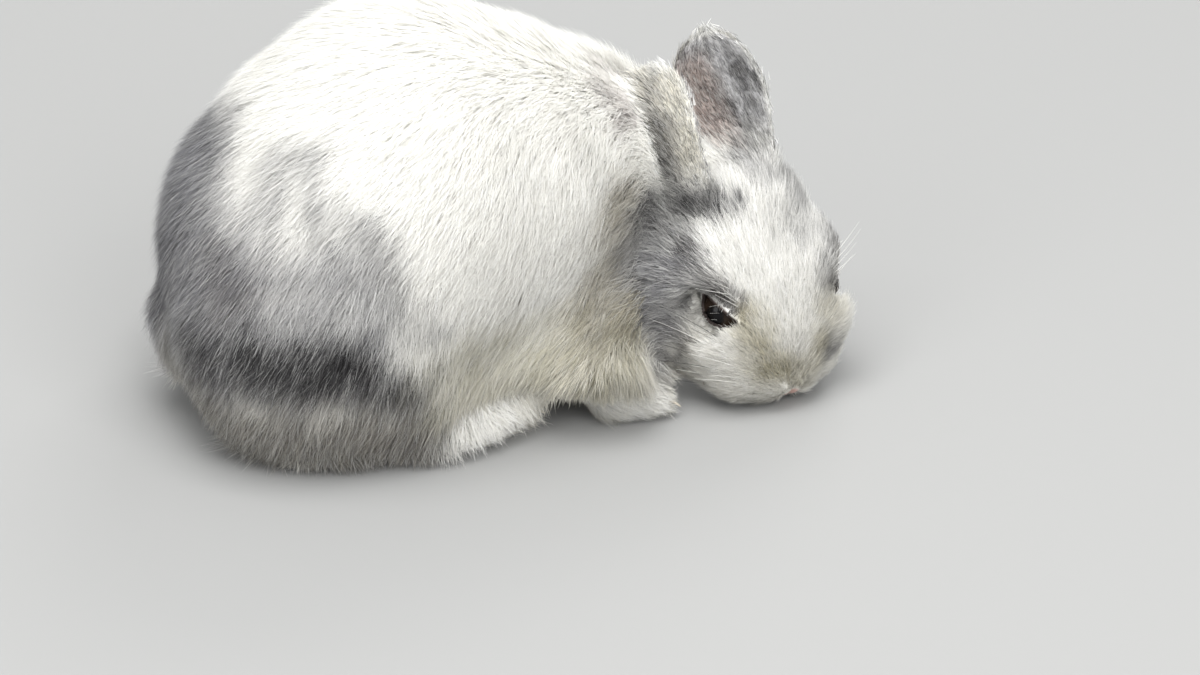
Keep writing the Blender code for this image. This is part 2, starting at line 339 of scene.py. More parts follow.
def in_ear(node, points):
    """Along the ear from 0 at the root to 1 at the tip, and across it from -1 to 1."""
    centre, axes, low, high = EAR_FRAMES[node]
    local = (points - centre) @ axes.T
    along = (local[:, 0] - low[0]) / (high[0] - low[0])
    solid = (solid_points[node] - centre) @ axes.T
    solid_along = (solid[:, 0] - low[0]) / (high[0] - low[0])
    bins = np.linspace(0.0, 1.0, 13)
    left, right = np.empty(len(bins)), np.empty(len(bins))
    for k, place in enumerate(bins):
        near = np.abs(solid_along - place) < 0.09
        left[k], right[k] = solid[near, 1].min(), solid[near, 1].max()
    low_edge = np.interp(along, bins, left)
    high_edge = np.interp(along, bins, right)
    across = 2.0 * (local[:, 1] - low_edge) / np.maximum(high_edge - low_edge, 1.0) - 1.0
    return along, across


# ---------------------------------------------------------------- eyes
def eye_centre(node):
    low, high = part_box(node)
    return np.array((low + high) / 2) / MM + EYE_FORTH[node] * eye_axes(node)[0]


def eye_axes(node):
    """Outward, along the slit towards the nose, and up, as a frame at the eye."""
    side = 1.0 if node.endswith("right") else -1.0
    outward = unit(np.array((-0.22, side * 0.85, 0.46)))
    forward = flat_on(np.array((-1.0, 0.0, 0.0)), outward)
    up = np.cross(outward, forward)
    if up[2] < 0:
        up = -up
    turned_forward = forward * math.cos(EYE_SLIT) + up * math.sin(EYE_SLIT)
    turned_up = up * math.cos(EYE_SLIT) - forward * math.sin(EYE_SLIT)
    return np.stack((outward, turned_forward, turned_up)) @ HEAD_AXES


def almond(angle):
    """Outline of the opening at an angle round it: pointed at the corner by the nose."""
    x = EYE_LONG * np.cos(angle)
    y = EYE_HIGH * np.sin(angle) * (1.0 - 0.34 * np.maximum(np.cos(angle), 0.0) ** 2)
    y = y * (1.0 - 0.14 * np.maximum(-np.cos(angle), 0.0) ** 2)
    y = y + 0.5 * (x / EYE_LONG) ** 2 + EYE_LIFT
    return x, y


def almond_reach(along, rise):
    """How far the outline of the opening is from its middle, in the direction of each place."""
    table = np.linspace(-math.pi, math.pi, 241)
    x, y = almond(table)
    true_angle = np.unwrap(np.arctan2(y, x))
    reach = np.hypot(x, y)
    return np.interp(np.arctan2(rise, along), true_angle, reach, period=2.0 * math.pi)


def eye_view(node, points):
    """Out of the eye, along its slit and above it, and how far beyond the opening's outline."""
    out, along, rise = ((points - eye_centre(node)) @ eye_axes(node).T).T
    return out, along, rise, np.hypot(along, rise) - almond_reach(along, rise)


# ---------------------------------------------------------------- skin
# The loose skin under the chin, which fills the hollow between the chest and the cheek.
DEWLAP_PLACE = np.array((60.0, -13.0, 25.0))
DEWLAP_SIZE = np.array((15.0, 13.0, 20.0))


def ellipsoid(centre, sizes):
    """Points and triangles of an ellipsoid."""
    bm = bmesh.new()
    bmesh.ops.create_icosphere(bm, subdivisions=3, radius=1.0)
    points = np.array([tuple(v.co) for v in bm.verts])
    faces = np.array([[v.index for v in face.verts] for face in bm.faces], np.int32)
    bm.free()
    return centre + points * sizes, faces


def seed_mesh():
    """Every solid grown a little, so that they overlap, as one mesh, with the dewlap."""
    parts = []
    for node in FLESH + EYES:
        points, faces = solid_points[node], solid_faces[node]
        growth = SEAM_CLOSING.get(kind_of(node), SEAM_CLOSING_ELSEWHERE)
        parts.append((points + growth * point_normals(points, faces), faces))
    parts.append(ellipsoid(DEWLAP_PLACE, DEWLAP_SIZE))
    points, faces, _ = stacked(parts)
    return even_mesh("seed", points, faces)


def blended_skin():
    """Points and quads of the grown solids remeshed as one form."""
    seed = new_object("seed", seed_mesh())
    remesh = seed.modifiers.new("Remesh", "REMESH")
    remesh.mode = "VOXEL"
    remesh.voxel_size = SKIN_VOXEL * MM
    remesh.adaptivity = 0.0
    graph = bpy.context.evaluated_depsgraph_get()
    mesh = bpy.data.meshes.new_from_object(seed.evaluated_get(graph), depsgraph=graph)
    points = mesh_points(mesh)
    quads = np.array([tuple(p.vertices) for p in mesh.polygons if len(p.vertices) == 4], np.int32)
    bpy.data.objects.remove(seed, do_unlink=True)
    bpy.data.meshes.remove(mesh)
    return points, quads


def triangles_of(quads):
    return np.concatenate([quads[:, [0, 1, 2]], quads[:, [0, 2, 3]]])


def largest_body(points, quads):
    """Only the outer shell: the remesh also walls in small sealed hollows."""
    label = np.arange(len(points))
    while True:
        lowest = label[quads].min(1)
        before = label.copy()
        for k in range(4):
            np.minimum.at(label, quads[:, k], lowest)
        label = label[label]
        if (label == before).all():
            break
    keep = label == np.bincount(label).argmax()
    quads = quads[keep[quads[:, 0]]]
    index = np.cumsum(keep) - 1
    return points[keep], index[quads]


def refined(points, quads):
    """Triangles of the skin, made finer where the lids and the nose are shaped."""
    mesh = even_mesh("coarse", points, quads)
    bm = bmesh.new()
    bm.from_mesh(mesh)
    bm.verts.ensure_lookup_table()
    # Each zone: its centre, its radius and the cuts of every edge in it.
    zones = [(eye_centre(node) + 6.0 * eye_axes(node)[0], 12.5, 3) for node in EYES]
    zones.append((from_head((4.0, 0.0, 1.0)), 12.0, 2))
    for centre, radius, cuts in zones:
        middle = Vector(centre * MM)
        inside = {v for v in bm.verts if (v.co - middle).length < radius * MM}
        edges = [e for e in bm.edges if e.verts[0] in inside and e.verts[1] in inside]
        bmesh.ops.subdivide_edges(bm, edges=edges, cuts=cuts, use_grid_fill=True)
    bmesh.ops.triangulate(bm, faces=bm.faces)
    bm.to_mesh(mesh)
    bm.free()
    fine = mesh_points(mesh)
    faces = np.empty(len(mesh.loops), np.int32)
    mesh.loops.foreach_get("vertex_index", faces)
    bpy.data.meshes.remove(mesh)
    return fine, faces.reshape(-1, 3)


def owners_of(points):
    """The number of the flesh node nearest each point, and its kind."""
    all_points, all_faces, numbers = stacked(solids_of(FLESH))
    tree = search_tree(all_points, all_faces)
    owners = np.array([numbers[tree.find_nearest(Vector(p))[2]] for p in points])
    return owners, np.array([kind_of(node) for node in FLESH])[owners]


def nose_share(points):
    """From 0 at the back of the head to 1 at the nose."""
    return smoothstep(60.0, 0.0, to_head(points)[:, 0])


class Skin:
    """The skin's points and what each of them carries."""


def dress_skin():
    """The solids' common face smoothed, then sunk by the coat's depth."""
    skin = Skin()
    points, quads = largest_body(*blended_skin())
    near = Neighbours(len(points), triangles_of(quads))
    kinds = owners_of(points)[1]
    is_ear = near.soft(kinds == "ear", 3)
    # Facets of the solids go, while the thin ears keep their form.
    points = near.relax(points, 1.0 - 0.88 * is_ear, FACET_STEPS)
    # The hollows where the neck meets the head and the trunk are filled softly.
    seam = near.soft(kinds == "neck", 10)
    loose = np.minimum(3.6 * seam * (1.0 - seam), 1.0) * (1.0 - is_ear)
    points = near.relax(points, loose, COLLAR_STEPS)
    points, faces = refined(points, quads)
    near = Neighbours(len(points), faces)
    owner, kinds = owners_of(points)
    is_ear = near.soft(kinds == "ear", 3)
    calm = 1.0 - 0.9 * is_ear
    points = near.relax(points, calm, 3)
    skin.coat_face = points
    depth = np.array([COAT[kind]["depth"] for kind in kinds])
    depth *= 1.0 - 0.4 * (kinds == "head") * nose_share(points)
    depth = near.smooth(depth, 14) * (1.0 - is_ear) + COAT["ear"]["depth"] * is_ear
    normals = unit(near.smooth(point_normals(points, faces), 6))
    inside = points - depth[:, None] * normals
    inside[:, 2] = np.maximum(inside[:, 2], SOLE_CLEARANCE)
    skin.points, skin.faces = near.relax(inside, calm, 6), faces
    skin.near, skin.owner, skin.kinds, skin.is_ear = near, owner, kinds, is_ear
    skin.normals = point_normals(skin.points, faces)
    return skin


# ---------------------------------------------------------------- face sculpting
def sculpt_face(skin):
    """Sockets, lids, nostrils, the cleft lip and the mouth, as moves of the skin's points."""
    points = skin.points
    normals = unit(skin.near.smooth(skin.normals, 3))
    place = to_head(points)
    back, right, up = place.T
    head = skin.near.soft(skin.kinds == "head", 4)
    move = np.zeros(len(points))
    side = np.abs(right)
    # Muzzle: a groove between the whisker pads and fuller pads either side.
    groove = np.exp(-(right / 1.5) ** 2) * smoothstep(13.0, 2.0, back) * smoothstep(9.0, 2.0, up)
    move -= 1.3 * groove
    pads = np.exp(-((side - 7.0) / 5.0) ** 2 - ((back - 7.0) / 7.0) ** 2) * smoothstep(-9, -2, up)
    move += 0.9 * pads
    # Mouth line, running back from the cleft on the underside.
    mouth_up = -6.0 - 0.25 * back
    mouth = np.exp(-((up - mouth_up) / 1.1) ** 2) * smoothstep(15.0, 9.0, side)
    move -= 1.4 * mouth * smoothstep(16, 8, back)
    # Nostrils: a slit each side, slanting up and out.
    slant = (side - 2.6) - 0.5 * (up + 0.5)
    nostril = np.exp(-(slant / 0.8) ** 2 - ((up - 0.8) / 2.0) ** 2) * smoothstep(6.0, 3.0, back)
    move -= 1.5 * nostril
    # Full cheeks between the eye and the whisker pads, the far one fuller as in the photo.
    for middle, size, rise in (((23.0, -25.0, 12.0), 10.0, 2.4), ((23.0, 25.0, 8.0), 9.0, 0.8),
                               ((41.0, -22.0, 20.0), 10.0, 2.2)):
        move += rise * np.exp(-(np.linalg.norm(place - middle, axis=1) / size) ** 2)
    skin.points = points + (move * head)[:, None] * normals
    shape_ears(skin)
    for node in FEET:
        shape_toes(skin, node)
    for node in EYES:
        shape_lids(skin, node)
    skin.normals = point_normals(skin.points, skin.faces)


# How far each ear spreads at its edges, leans outward and grows at the tip.
EAR_SHAPE = {"ear_right": dict(spread=1.4, lean=3.0, reach=0.5),
             "ear_left": dict(spread=3.4, lean=0.0, reach=1.0)}


def shape_ears(skin):
    for number, node in enumerate(FLESH):
        if node not in EAR_SHAPE:
            continue
        shape = EAR_SHAPE[node]
        centre, axes, low, high = EAR_FRAMES[node]
        along, across = in_ear(node, skin.points)
        own = skin.near.soft(skin.owner == number, 3)
        hold = own * smoothstep(0.15, 0.65, along)
        bell = own * np.sin(math.pi * np.clip(along, 0.0, 1.0))
        outward = hold * shape["spread"] * np.clip(across, -1.2, 1.2)
        skin.points = skin.points + outward[:, None] * axes[1]
        skin.points -= (bell * shape["lean"])[:, None] * axes[2]
        tip = own * smoothstep(0.8, 1.0, along)
        skin.points += (tip * shape["reach"])[:, None] * axes[0]


def foot_frame(node):
    """Tip, heading and crosswise direction of a foot in plan, and half its width at the toes."""
    points = solid_points[node]
    low_part = points[points[:, 2] < 16.0]
    front = low_part[low_part[:, 0] > low_part[:, 0].max() - 14.0]
    middle = low_part[np.abs(low_part[:, 0] - (low_part[:, 0].max() - 28.0)) < 7.0]
    heading = front.mean(0) - middle.mean(0)
    heading[2] = 0.0
    heading = unit(heading)
    crosswise = np.array((-heading[1], heading[0], 0.0))
    offsets = (front - front.mean(0)) @ crosswise
    tip = front.mean(0) + heading * ((front - front.mean(0)) @ heading).max()
    return tip, heading, crosswise, (offsets.max() - offsets.min()) / 2.0


def shape_toes(skin, node):
    """Grooves between four toes at the front of a foot."""
    tip, heading, crosswise, half = foot_frame(node)
    own = skin.near.soft(skin.owner == FLESH.index(node), 3)
    local = skin.points - tip
    ahead, offset = local @ heading, local @ crosswise
    front = own * smoothstep(-17.0, -8.0, ahead) * smoothstep(16.0, 11.0, skin.points[:, 2])
    move = np.zeros(len(skin.points))
    for before, after in zip(TOES, TOES[1:]):
        groove = (before + after) / 2.0 * half
        move -= 1.5 * np.exp(-((offset - groove) / 1.3) ** 2)
    for toe in TOES:
        move += 0.8 * np.exp(-((offset - toe * half) / 2.4) ** 2)
    skin.points = skin.points + (move * front)[:, None] * skin.normals
    if node.startswith("hind"):
        # Behind the toes the foot lies tucked under the haunch, out of sight.
        tucked = own * smoothstep(-24.0, -44.0, skin.points[:, 0])
        skin.points[:, 1] -= math.copysign(7.0, tip[1]) * tucked


def shape_lids(skin, node):
    """The skin closes on the eyeball in two lids, round an almond opening that falls inside."""
    centre, axes = eye_centre(node), eye_axes(node)
    out, along, rise = ((skin.points - centre) @ axes.T).T
    flat = np.hypot(along, rise)
    edge = almond_reach(along, rise)
    beyond = flat - edge
    near = (flat < 15.0) & (out > 0.0) & (out < 16.0)
    # Points close to the outline settle on it, which keeps the lid's margin clean.
    settle = near & (np.abs(beyond) < LID_SETTLE)
    scale = np.where(settle, edge / np.maximum(flat, 1e-6), 1.0)
    along, rise = along * scale, rise * scale
    flat = np.hypot(along, rise)
    beyond = np.where(settle, 0.0, beyond)
    ball = np.sqrt((EYE_RADIUS + 0.1) ** 2 - np.minimum(flat, 0.93 * EYE_RADIUS) ** 2)
    upper = smoothstep(0.0, 3.0, rise)
    lid = ball + 0.5 + (0.25 + 0.55 * upper) * np.exp(-((beyond - 1.0) / 1.0) ** 2)
    # A shallow furrow follows each lid.
    lid -= 0.22 * np.exp(-((beyond - 3.0) / 0.9) ** 2)
    hold = smoothstep(*LID_SPAN, beyond)
    target = out * (1.0 - hold) + lid * hold
    target = np.where(beyond < -0.15, ball - 2.4, target)
    out = np.where(near, target, out)
    moved = np.stack((out, along, rise), axis=1) @ axes + centre
    skin.points = np.where(near[:, None], moved, skin.points)


# ---------------------------------------------------------------- markings
WHITE = linear(243, 242, 238)
CREAM = linear(232, 228, 216)
SILVER = linear(198, 197, 198)
BLUE_GREY = linear(130, 130, 135)
CHARCOAL = linear(56, 54, 55)
BROWN_GREY = linear(96, 88, 82)
BEIGE = linear(172, 166, 152)
TAN = linear(166, 156, 130)
OLIVE_CREAM = linear(206, 202, 178)
MAUVE = linear(182, 166, 158)
STAIN = linear(206, 199, 172)
EAR_GREY = linear(104, 101, 98)
# Colour of the painted shade on the nape.
NAPE_SHADE = linear(190, 182, 179)
LID = linear(40, 32, 29)
NOSE = linear(206, 172, 162)

# (name, start, end, radius, softness, strength, colour) in millimetres, for the right side.
# The left side wears the same, a little moved.
BODY_MARKS = (
    ("rump band", (-115, 0, 98), (-128, -4, 62), 22, 22, 0.80, BLUE_GREY * 0.92),
    ("rump dark", (-126, -8, 72), (-124, -30, 48), 12, 16, 0.62, BLUE_GREY * 0.55),
    ("rump side", (-118, -34, 86), (-112, -56, 56), 18, 16, 0.82, BLUE_GREY * 0.8),
    ("rump shadow", (-110, -50, 84), (-104, -56, 76), 7, 9, 0.75, BROWN_GREY),
    ("back streak", (-82, -40, 124), (-92, -48, 108), 4, 8, 0.45, SILVER * 0.62),
    ("flank streak", (-73, -50, 122), (-70, -62, 106), 3, 8, 0.50, SILVER * 0.55),
    ("haunch haze", (-98, -56, 82), (-60, -74, 74), 14, 18, 0.52, BLUE_GREY * 0.9),
    ("knee patch", (-57, -68, 101), (-47, -73, 88), 4, 9, 0.60, SILVER * 0.5),
    # A thin line of painted shade in the crease along the front of the haunch.
    ("crease shade at knee", (-44, -74, 86), (-34, -71, 62), 1.0, 5, 0.34, CHARCOAL),
    ("haunch band rear", (-118, -50, 52), (-98, -70, 52), 10, 10, 0.90, CHARCOAL * 0.85),
    ("haunch band", (-98, -72, 54), (-68, -77, 49), 13, 9, 0.98, CHARCOAL * 0.7),
    ("haunch band front", (-68, -77, 45), (-36, -72, 35), 8, 9, 0.92, CHARCOAL * 0.8),
    ("haunch fringe", (-98, -64, 20), (-44, -68, 18), 13, 10, 0.82, BEIGE * 0.72),
    # The beige fringe under the rump, darkened as painted shade near the floor.
    ("fringe and shade at rear", (-118, -20, 22), (-112, -48, 20), 15, 12, 0.72, BEIGE * 0.6),
    # Darker streaks in the hanging fringe: partly its own colour, partly painted shade in the gaps
    # between its locks.
    ("fringe streaks and shade", (-116, -44, 34), (-80, -66, 30), 5, 13, 0.55, BROWN_GREY * 0.6),
    ("collar tan", (44, -30, 90), (36, -42, 48), 7, 10, 0.52, TAN),
    # Painted shade down the side of the neck, behind the cheek.
    ("collar shade", (57, -20, 84), (52, -33, 44), 5, 9, 0.62, CHARCOAL * 2.2),
    ("chest tan", (40, -40, 50), (22, -50, 28), 12, 14, 0.40, TAN),
    # A pale grey-mauve painted shade on the nape, behind the near ear.
    ("nape shade", (41, -10, 127), (47, -13, 114), 5, 8, 0.55, NAPE_SHADE),
    ("belly cream", (-18, -64, 34), (38, -50, 34), 16, 16, 0.36, OLIVE_CREAM),
    # Beige hair at the rear of the hind foot, darkened as painted shade under the haunch.
    ("rear of hind foot with shade", (-104, -52, 6), (-38, -58, 6), 14, 9, 0.85, BEIGE * 0.62),
    ("leg shade", (62, -30, 30), (40, -44, 26), 6, 9, 0.50, TAN * 0.72),
    # Painted shade on the chest fur just above the forepaw.
    ("chest shade", (60, -30, 38), (57, -34, 20), 4, 8, 0.60, CHARCOAL * 2.2),
    ("forepaw", (60, -36, 5), (34, -45, 7), 8, 5, 0.90, WHITE),
    ("hind paw", (-30, -60, 5), (2, -50, 8), 8, 5, 0.85, WHITE),
    ("foot shade", (-50, -62, 3), (-34, -62, 3), 6, 6, 0.80, BEIGE * 0.5),
    ("tail pale", (-132, 3, 34), (-130, 3, 14), 8, 8, 0.62, SILVER * 1.2),
)

# The same for the head, as back, right and up in its own frame.
HEAD_MARKS = (
    ("ear base", (79, 23, 18), (75, 17, 22), 3.5, 6, 0.80, CHARCOAL),
    ("cheek top", (76, 34, 16), (64, 31, 12), 6, 6, 0.82, CHARCOAL * 1.7),
    ("brow streak", (64, 31, 12), (44, 27, 18), 4.0, 5, 0.96, BROWN_GREY * 0.5),
    ("eye rim", (47, 28, 19), (35, 22, 22), 4.0, 4, 0.50, BROWN_GREY * 0.8),
    ("eye corner", (56, 32, 16), (45, 31, 17), 2.2, 3, 0.90, CHARCOAL),
    ("cheek haze", (60, 42, 10), (44, 44, 0), 9, 9, 0.64, BLUE_GREY * 0.85),
    ("lower cheek", (42, 44, -2), (28, 40, -10), 6, 7, 0.48, SILVER * 0.5),
    ("tear track", (28, 17, 19), (12, 12, 12), 6, 7, 0.62, STAIN * 0.95),
    ("muzzle haze", (14, 12, 12), (6, 2, 10), 6, 7, 0.48, STAIN * 0.85),
)
FAR_CHEEK_SHARE = 0.7     # the left cheek is a little paler than the right
CROWN_SPOT = ("crown spot", (71, 8, 26), (71, 7, 26), 2.6, 3, 0.7, CHARCOAL)
FAR_FACE_MARKS = (
    ("between ears", (94, -6, 14), (82, -7, 22), 5, 7, 0.55, SILVER * 0.6),
    ("brow haze", (76, -13, 26), (56, -18, 25), 5, 9, 0.42, SILVER * 0.6),
    ("temple", (48, -21, 22), (34, -19, 21), 4, 6, 0.45, SILVER * 0.5),
    ("muzzle side", (16, -17, 12), (11, -18, 9), 4, 4, 0.60, SILVER * 0.45),
)


def twin(mark, moved, narrower, paler=1.0):
    """A mark on the other side, its ends moved along the first axis, narrower and paler."""
    name, start, end, radius, soft, strength, tone = mark
    ends = [(x + by, -y, z) for (x, y, z), by in zip((start, end), moved)]
    return name, *ends, radius * narrower, soft, strength * paler, tone


def lay_mark(colours, grey, points, mark, broken):
    """Blends one mark into the colours, and notes how grey the coat is there."""
    _, start, end, radius, soft, strength, tone = mark
    far = from_segment(points, start, end)
    amount = strength * smoothstep(radius + soft, max(radius - soft * 0.6, 0.0), far)
    # Full strength holds in the dark marks, while the hazy ones break up.
    amount = np.clip(amount * (1.0 + broken * (1.1 - strength)), 0.0, 1.0)
    colours[:] = blend(colours, tone, amount)
    darkness = 1.0 - float(np.mean(tone)) / float(np.mean(WHITE))
    np.maximum(grey, amount * darkness, out=grey)


def coat_colours(points, kinds, normals):
    """Mean colour of the coat and its greyness, from 0 for white to 1, at each point."""
    warp = ripples(points, 16.0, 40) * 4.0
    warp += ripples(points, 6.0, 50) * 2.2
    streaked = points * np.array((0.8, 1.0, 0.45))
    broken = 0.75 * ripple(streaked, 4.2, 77, 24) + 0.45 * ripple(streaked, 1.9, 78, 24)
    is_face = np.isin(kinds, ("head", "ear"))
    low = smoothstep(60.0, 8.0, points[:, 2]) * (0.55 - 0.35 * is_face)
    colours = blend(np.tile(WHITE, (len(points), 1)), CREAM, low)
    grey = np.zeros(len(points))
    strayed = points + warp
    head_place = to_head(points + 0.45 * warp)
    for mark in BODY_MARKS:
        for each in (mark, twin(mark, (4.0, 2.0), 0.95)):
            lay_mark(colours, grey, strayed, each, broken)
    for mark in HEAD_MARKS:
        for each in (mark, twin(mark, (0.0, 0.0), 0.8, FAR_CHEEK_SHARE)):
            lay_mark(colours, grey, head_place, each, broken)
    for mark in (CROWN_SPOT,) + FAR_FACE_MARKS:
        lay_mark(colours, grey, head_place, mark, broken)
    # Loose streaks of grey over the crown and the far cheek.
    flecks = smoothstep(0.55, 1.1, ripple(points, 3.5, 71)) * is_face * 0.35
    flecks *= smoothstep(45.0, 70.0, head_place[:, 0])
    colours = blend(colours, BLUE_GREY, flecks)
    for node in EAR_OPENING:
        colours, grey = ear_colours(node, points, normals, kinds == "ear", colours, grey)
    return colours, grey


def ear_colours(node, points, normals, is_ear, colours, grey):
    """A pale rim, a mottled back and, inside, bare mauve beside speckled grey."""
    along, across = in_ear(node, points)
    centre, axes, _, high = EAR_FRAMES[node]
    local = (points - centre) @ axes.T
    here = is_ear & (np.abs(local[:, 1]) < high[1] + 12) & (np.linalg.norm(local, axis=1) < 48)
    other = "ear_left" if node == "ear_right" else "ear_right"
    o_centre = EAR_FRAMES[other][0]
    here &= np.linalg.norm(points - centre, axis=1) < np.linalg.norm(points - o_centre, axis=1)
    inner = smoothstep(-0.1, 0.35, normals @ axes[2])
    streaked = local * np.array((0.35, 1.0, 1.0))
    mottle = smoothstep(-0.3, 1.0, ripple(streaked, 2.6, 81, 24) + 0.6 * ripple(streaked, 1.3, 82, 24))
    shade = blend(SILVER * 1.08, CHARCOAL * 1.7, 0.85 * mottle)
    side = -1.0 if node == "ear_right" else 1.0
    dark_side = smoothstep(-0.30, 0.60, -across * side)
    outer_colour = blend(CREAM * 0.92, EAR_GREY * 0.8, mottle * (0.36 + 0.50 * dark_side))
    shadow = 0.70 * dark_side * smoothstep(0.95, 0.6, along)
    outer_colour = blend(outer_colour, CHARCOAL * 1.6, shadow)
    outer_colour = blend(outer_colour, CREAM * 0.97, 0.8 * smoothstep(0.05, 0.75, across * side))
    bare = smoothstep(0.15, -0.30, across * side) * smoothstep(0.95, 0.75, along)
    inner_colour = blend(shade, MAUVE, bare * (0.9 - 0.35 * mottle))
    colour = blend(outer_colour, inner_colour, inner)
    rim = np.maximum(smoothstep(0.74, 0.92, np.abs(across)), smoothstep(0.91, 0.98, along))
    rim = rim * (1.0 - 0.85 * dark_side * (1.0 - inner))
    colour = blend(colour, WHITE * 0.95, rim)
    # Toward the root the ear takes the white of the head.
    stem = smoothstep(0.42, 0.10, along)
    share = np.where(here, 1.0 - stem, 0.0)
    colours = blend(colours, colour, share)
    grey = np.where(here, np.maximum(grey * stem, 0.22 * (1 - rim) * (1 - stem)), grey)
    return colours, grey


# ---------------------------------------------------------------- lie of the coat
def lie_of_coat(skin):
    """The way the hair runs over every point of the skin, as a unit vector in its surface."""
    points, normals, kinds = skin.points, skin.normals, skin.kinds
    count = len(points)
    zero, one = np.zeros(count), np.ones(count)
    flank = np.abs(normals[:, 1])
    rear = smoothstep(-60.0, -110.0, points[:, 0])
    trunk = np.stack((-0.80 * one, 0.10 * normals[:, 1], -0.15 - 0.85 * flank - 0.9 * rear), axis=1)
    # Behind the ears and cheeks the hair runs away from the head on every side.
    away = points - from_head((45.0, 0.0, -4.0))
    by_head = smoothstep(105.0, 48.0, np.linalg.norm(away, axis=1))[:, None]
    radial = unit(away) + np.array((-0.45, 0.0, -0.60))
    trunk = unit(trunk) * (1.0 - by_head) + radial * by_head
    haunch = np.stack((-0.42 * one, zero, -one), axis=1)
    place = to_head(points)
    near_nose = smoothstep(30.0, 4.0, place[:, 0])
    fan = 0.012 + 0.085 * near_nose
    droop = -0.25 * np.minimum(np.abs(place[:, 1]) / 22.0, 1.6)
    droop = droop + near_nose * 0.05 * (place[:, 2] - 2.0)
    head = np.stack((one, fan * place[:, 1], droop), axis=1) @ HEAD_AXES
    foot = np.tile(np.array((0.85, 0.0, -0.35)), (count, 1))
    # High on the foreleg the hair hangs like that of the chest.
    hanging = smoothstep(12.0, 24.0, points[:, 2])[:, None]
    foreleg = foot * (1.0 - hanging) + np.array((-0.1, 0.0, -1.0)) * hanging
    tail = unit(points - np.array((-112.0, 3.0, 56.0)))
    by_kind = {"trunk": trunk, "haunch": haunch, "neck": trunk, "head": head, "foreleg": foreleg,
               "hind_foot": foot, "tail": tail}
    lie = np.zeros_like(points)
    for kind, field in by_kind.items():
        here = kinds == kind
        lie[here] = field[here]
    for number, node in enumerate(FLESH):
        if node in EAR_FRAMES:
            here = skin.owner == number
            lie[here] = EAR_FRAMES[node][1][0]
    lie = flat_on(lie, normals)
    wander = ripples(points, 22.0, 60) * 0.16
    wander += ripples(points, 8.0, 65) * 0.10
    lie = flat_on(lie + wander * (1.0 - skin.is_ear[:, None]), normals)
    for _ in range(LIE_STEPS):
        lie = flat_on(skin.near.smooth(lie, 1, 0.8), normals)
    # On the feet it keeps running towards the toes.
    on_feet = skin.near.soft(np.isin(kinds, ("foreleg", "hind_foot")), 4)[:, None]
    to_toes = 0.8 * on_feet * (1.0 - hanging)
    lie = flat_on(lie * (1.0 - to_toes) + flat_on(foot, normals) * to_toes, normals)
    # Round the eyes the hair parts and runs outward from the lids.
    for node in EYES:
        axes = eye_axes(node)
        from_eye = (points - eye_centre(node)) @ axes.T
        gap = np.linalg.norm(from_eye, axis=1)
        part = smoothstep(14.0, 9.0, gap)[:, None] * 1.8
        from_slit = (from_eye * np.array((0.0, 0.4, 1.0))) @ axes
        lie = flat_on(lie + flat_on(from_slit, normals) * part, normals)
    return lie


# ---------------------------------------------------------------- coat
def per_point(skin, key):
    """What COAT says for each point, evened out between the parts of the body."""
    return skin.near.smooth(np.array([COAT[kind][key] for kind in skin.kinds]), 10)


def unwrapped(obj):
    """Unwraps the skin by its own shape and returns a UV for each point of each triangle."""
    bpy.ops.object.select_all(action="DESELECT")
    bpy.context.view_layer.objects.active = obj
    obj.select_set(True)
    obj.data.uv_layers.new(name="OFBake")
    bpy.ops.object.mode_set(mode="EDIT")
    bpy.ops.mesh.select_all(action="SELECT")
    bpy.ops.uv.smart_project(angle_limit=math.radians(70), island_margin=0.004)
    bpy.ops.object.mode_set(mode="OBJECT")
    uv = np.empty(len(obj.data.loops) * 2)
    obj.data.uv_layers["OFBake"].data.foreach_get("uv", uv)
    return uv.reshape(-1, 3, 2)


class Tufts:
    """Roots and what each tuft inherits from the skin under it."""


def sow(skin, fields, uv, triangles, density, share):
    """Tufts spread over the given triangles, as many as the density asks for."""
    corners = skin.points[skin.faces[triangles]]
    cross = np.cross(corners[:, 1] - corners[:, 0], corners[:, 2] - corners[:, 0])
    area = np.linalg.norm(cross, axis=1) / 2
    weight = area * density[skin.faces[triangles]].mean(1)
    count = int(weight.sum() * share / BLADES_PER_TUFT)
    # One pick in each equal step of the summed weight spreads the tufts evenly.
    steps = (np.arange(count) + rng.random(count)) / count
    picks = np.searchsorted(np.cumsum(weight) / weight.sum(), steps)
    picks = np.minimum(picks, len(triangles) - 1)
    a, b = rng.random(count), rng.random(count)
    over = a + b > 1
    a[over], b[over] = 1 - a[over], 1 - b[over]
    shares = np.stack((1 - a - b, a, b), axis=1)
    made = Tufts()
    faces = skin.faces[triangles[picks]]

    def read(values):
        found = values[faces]
        if found.ndim == 2:
            return (found * shares).sum(1)
        return (found * shares[:, :, None]).sum(1)

    made.count = count
    made.root = read(skin.points)
    made.normal = unit(read(skin.normals))
    for name, values in fields.items():
        setattr(made, name, read(values))
    made.lie = flat_on(made.lie, made.normal)
    made.uv = (uv[triangles[picks]] * shares[:, :, None]).sum(1)
    return made


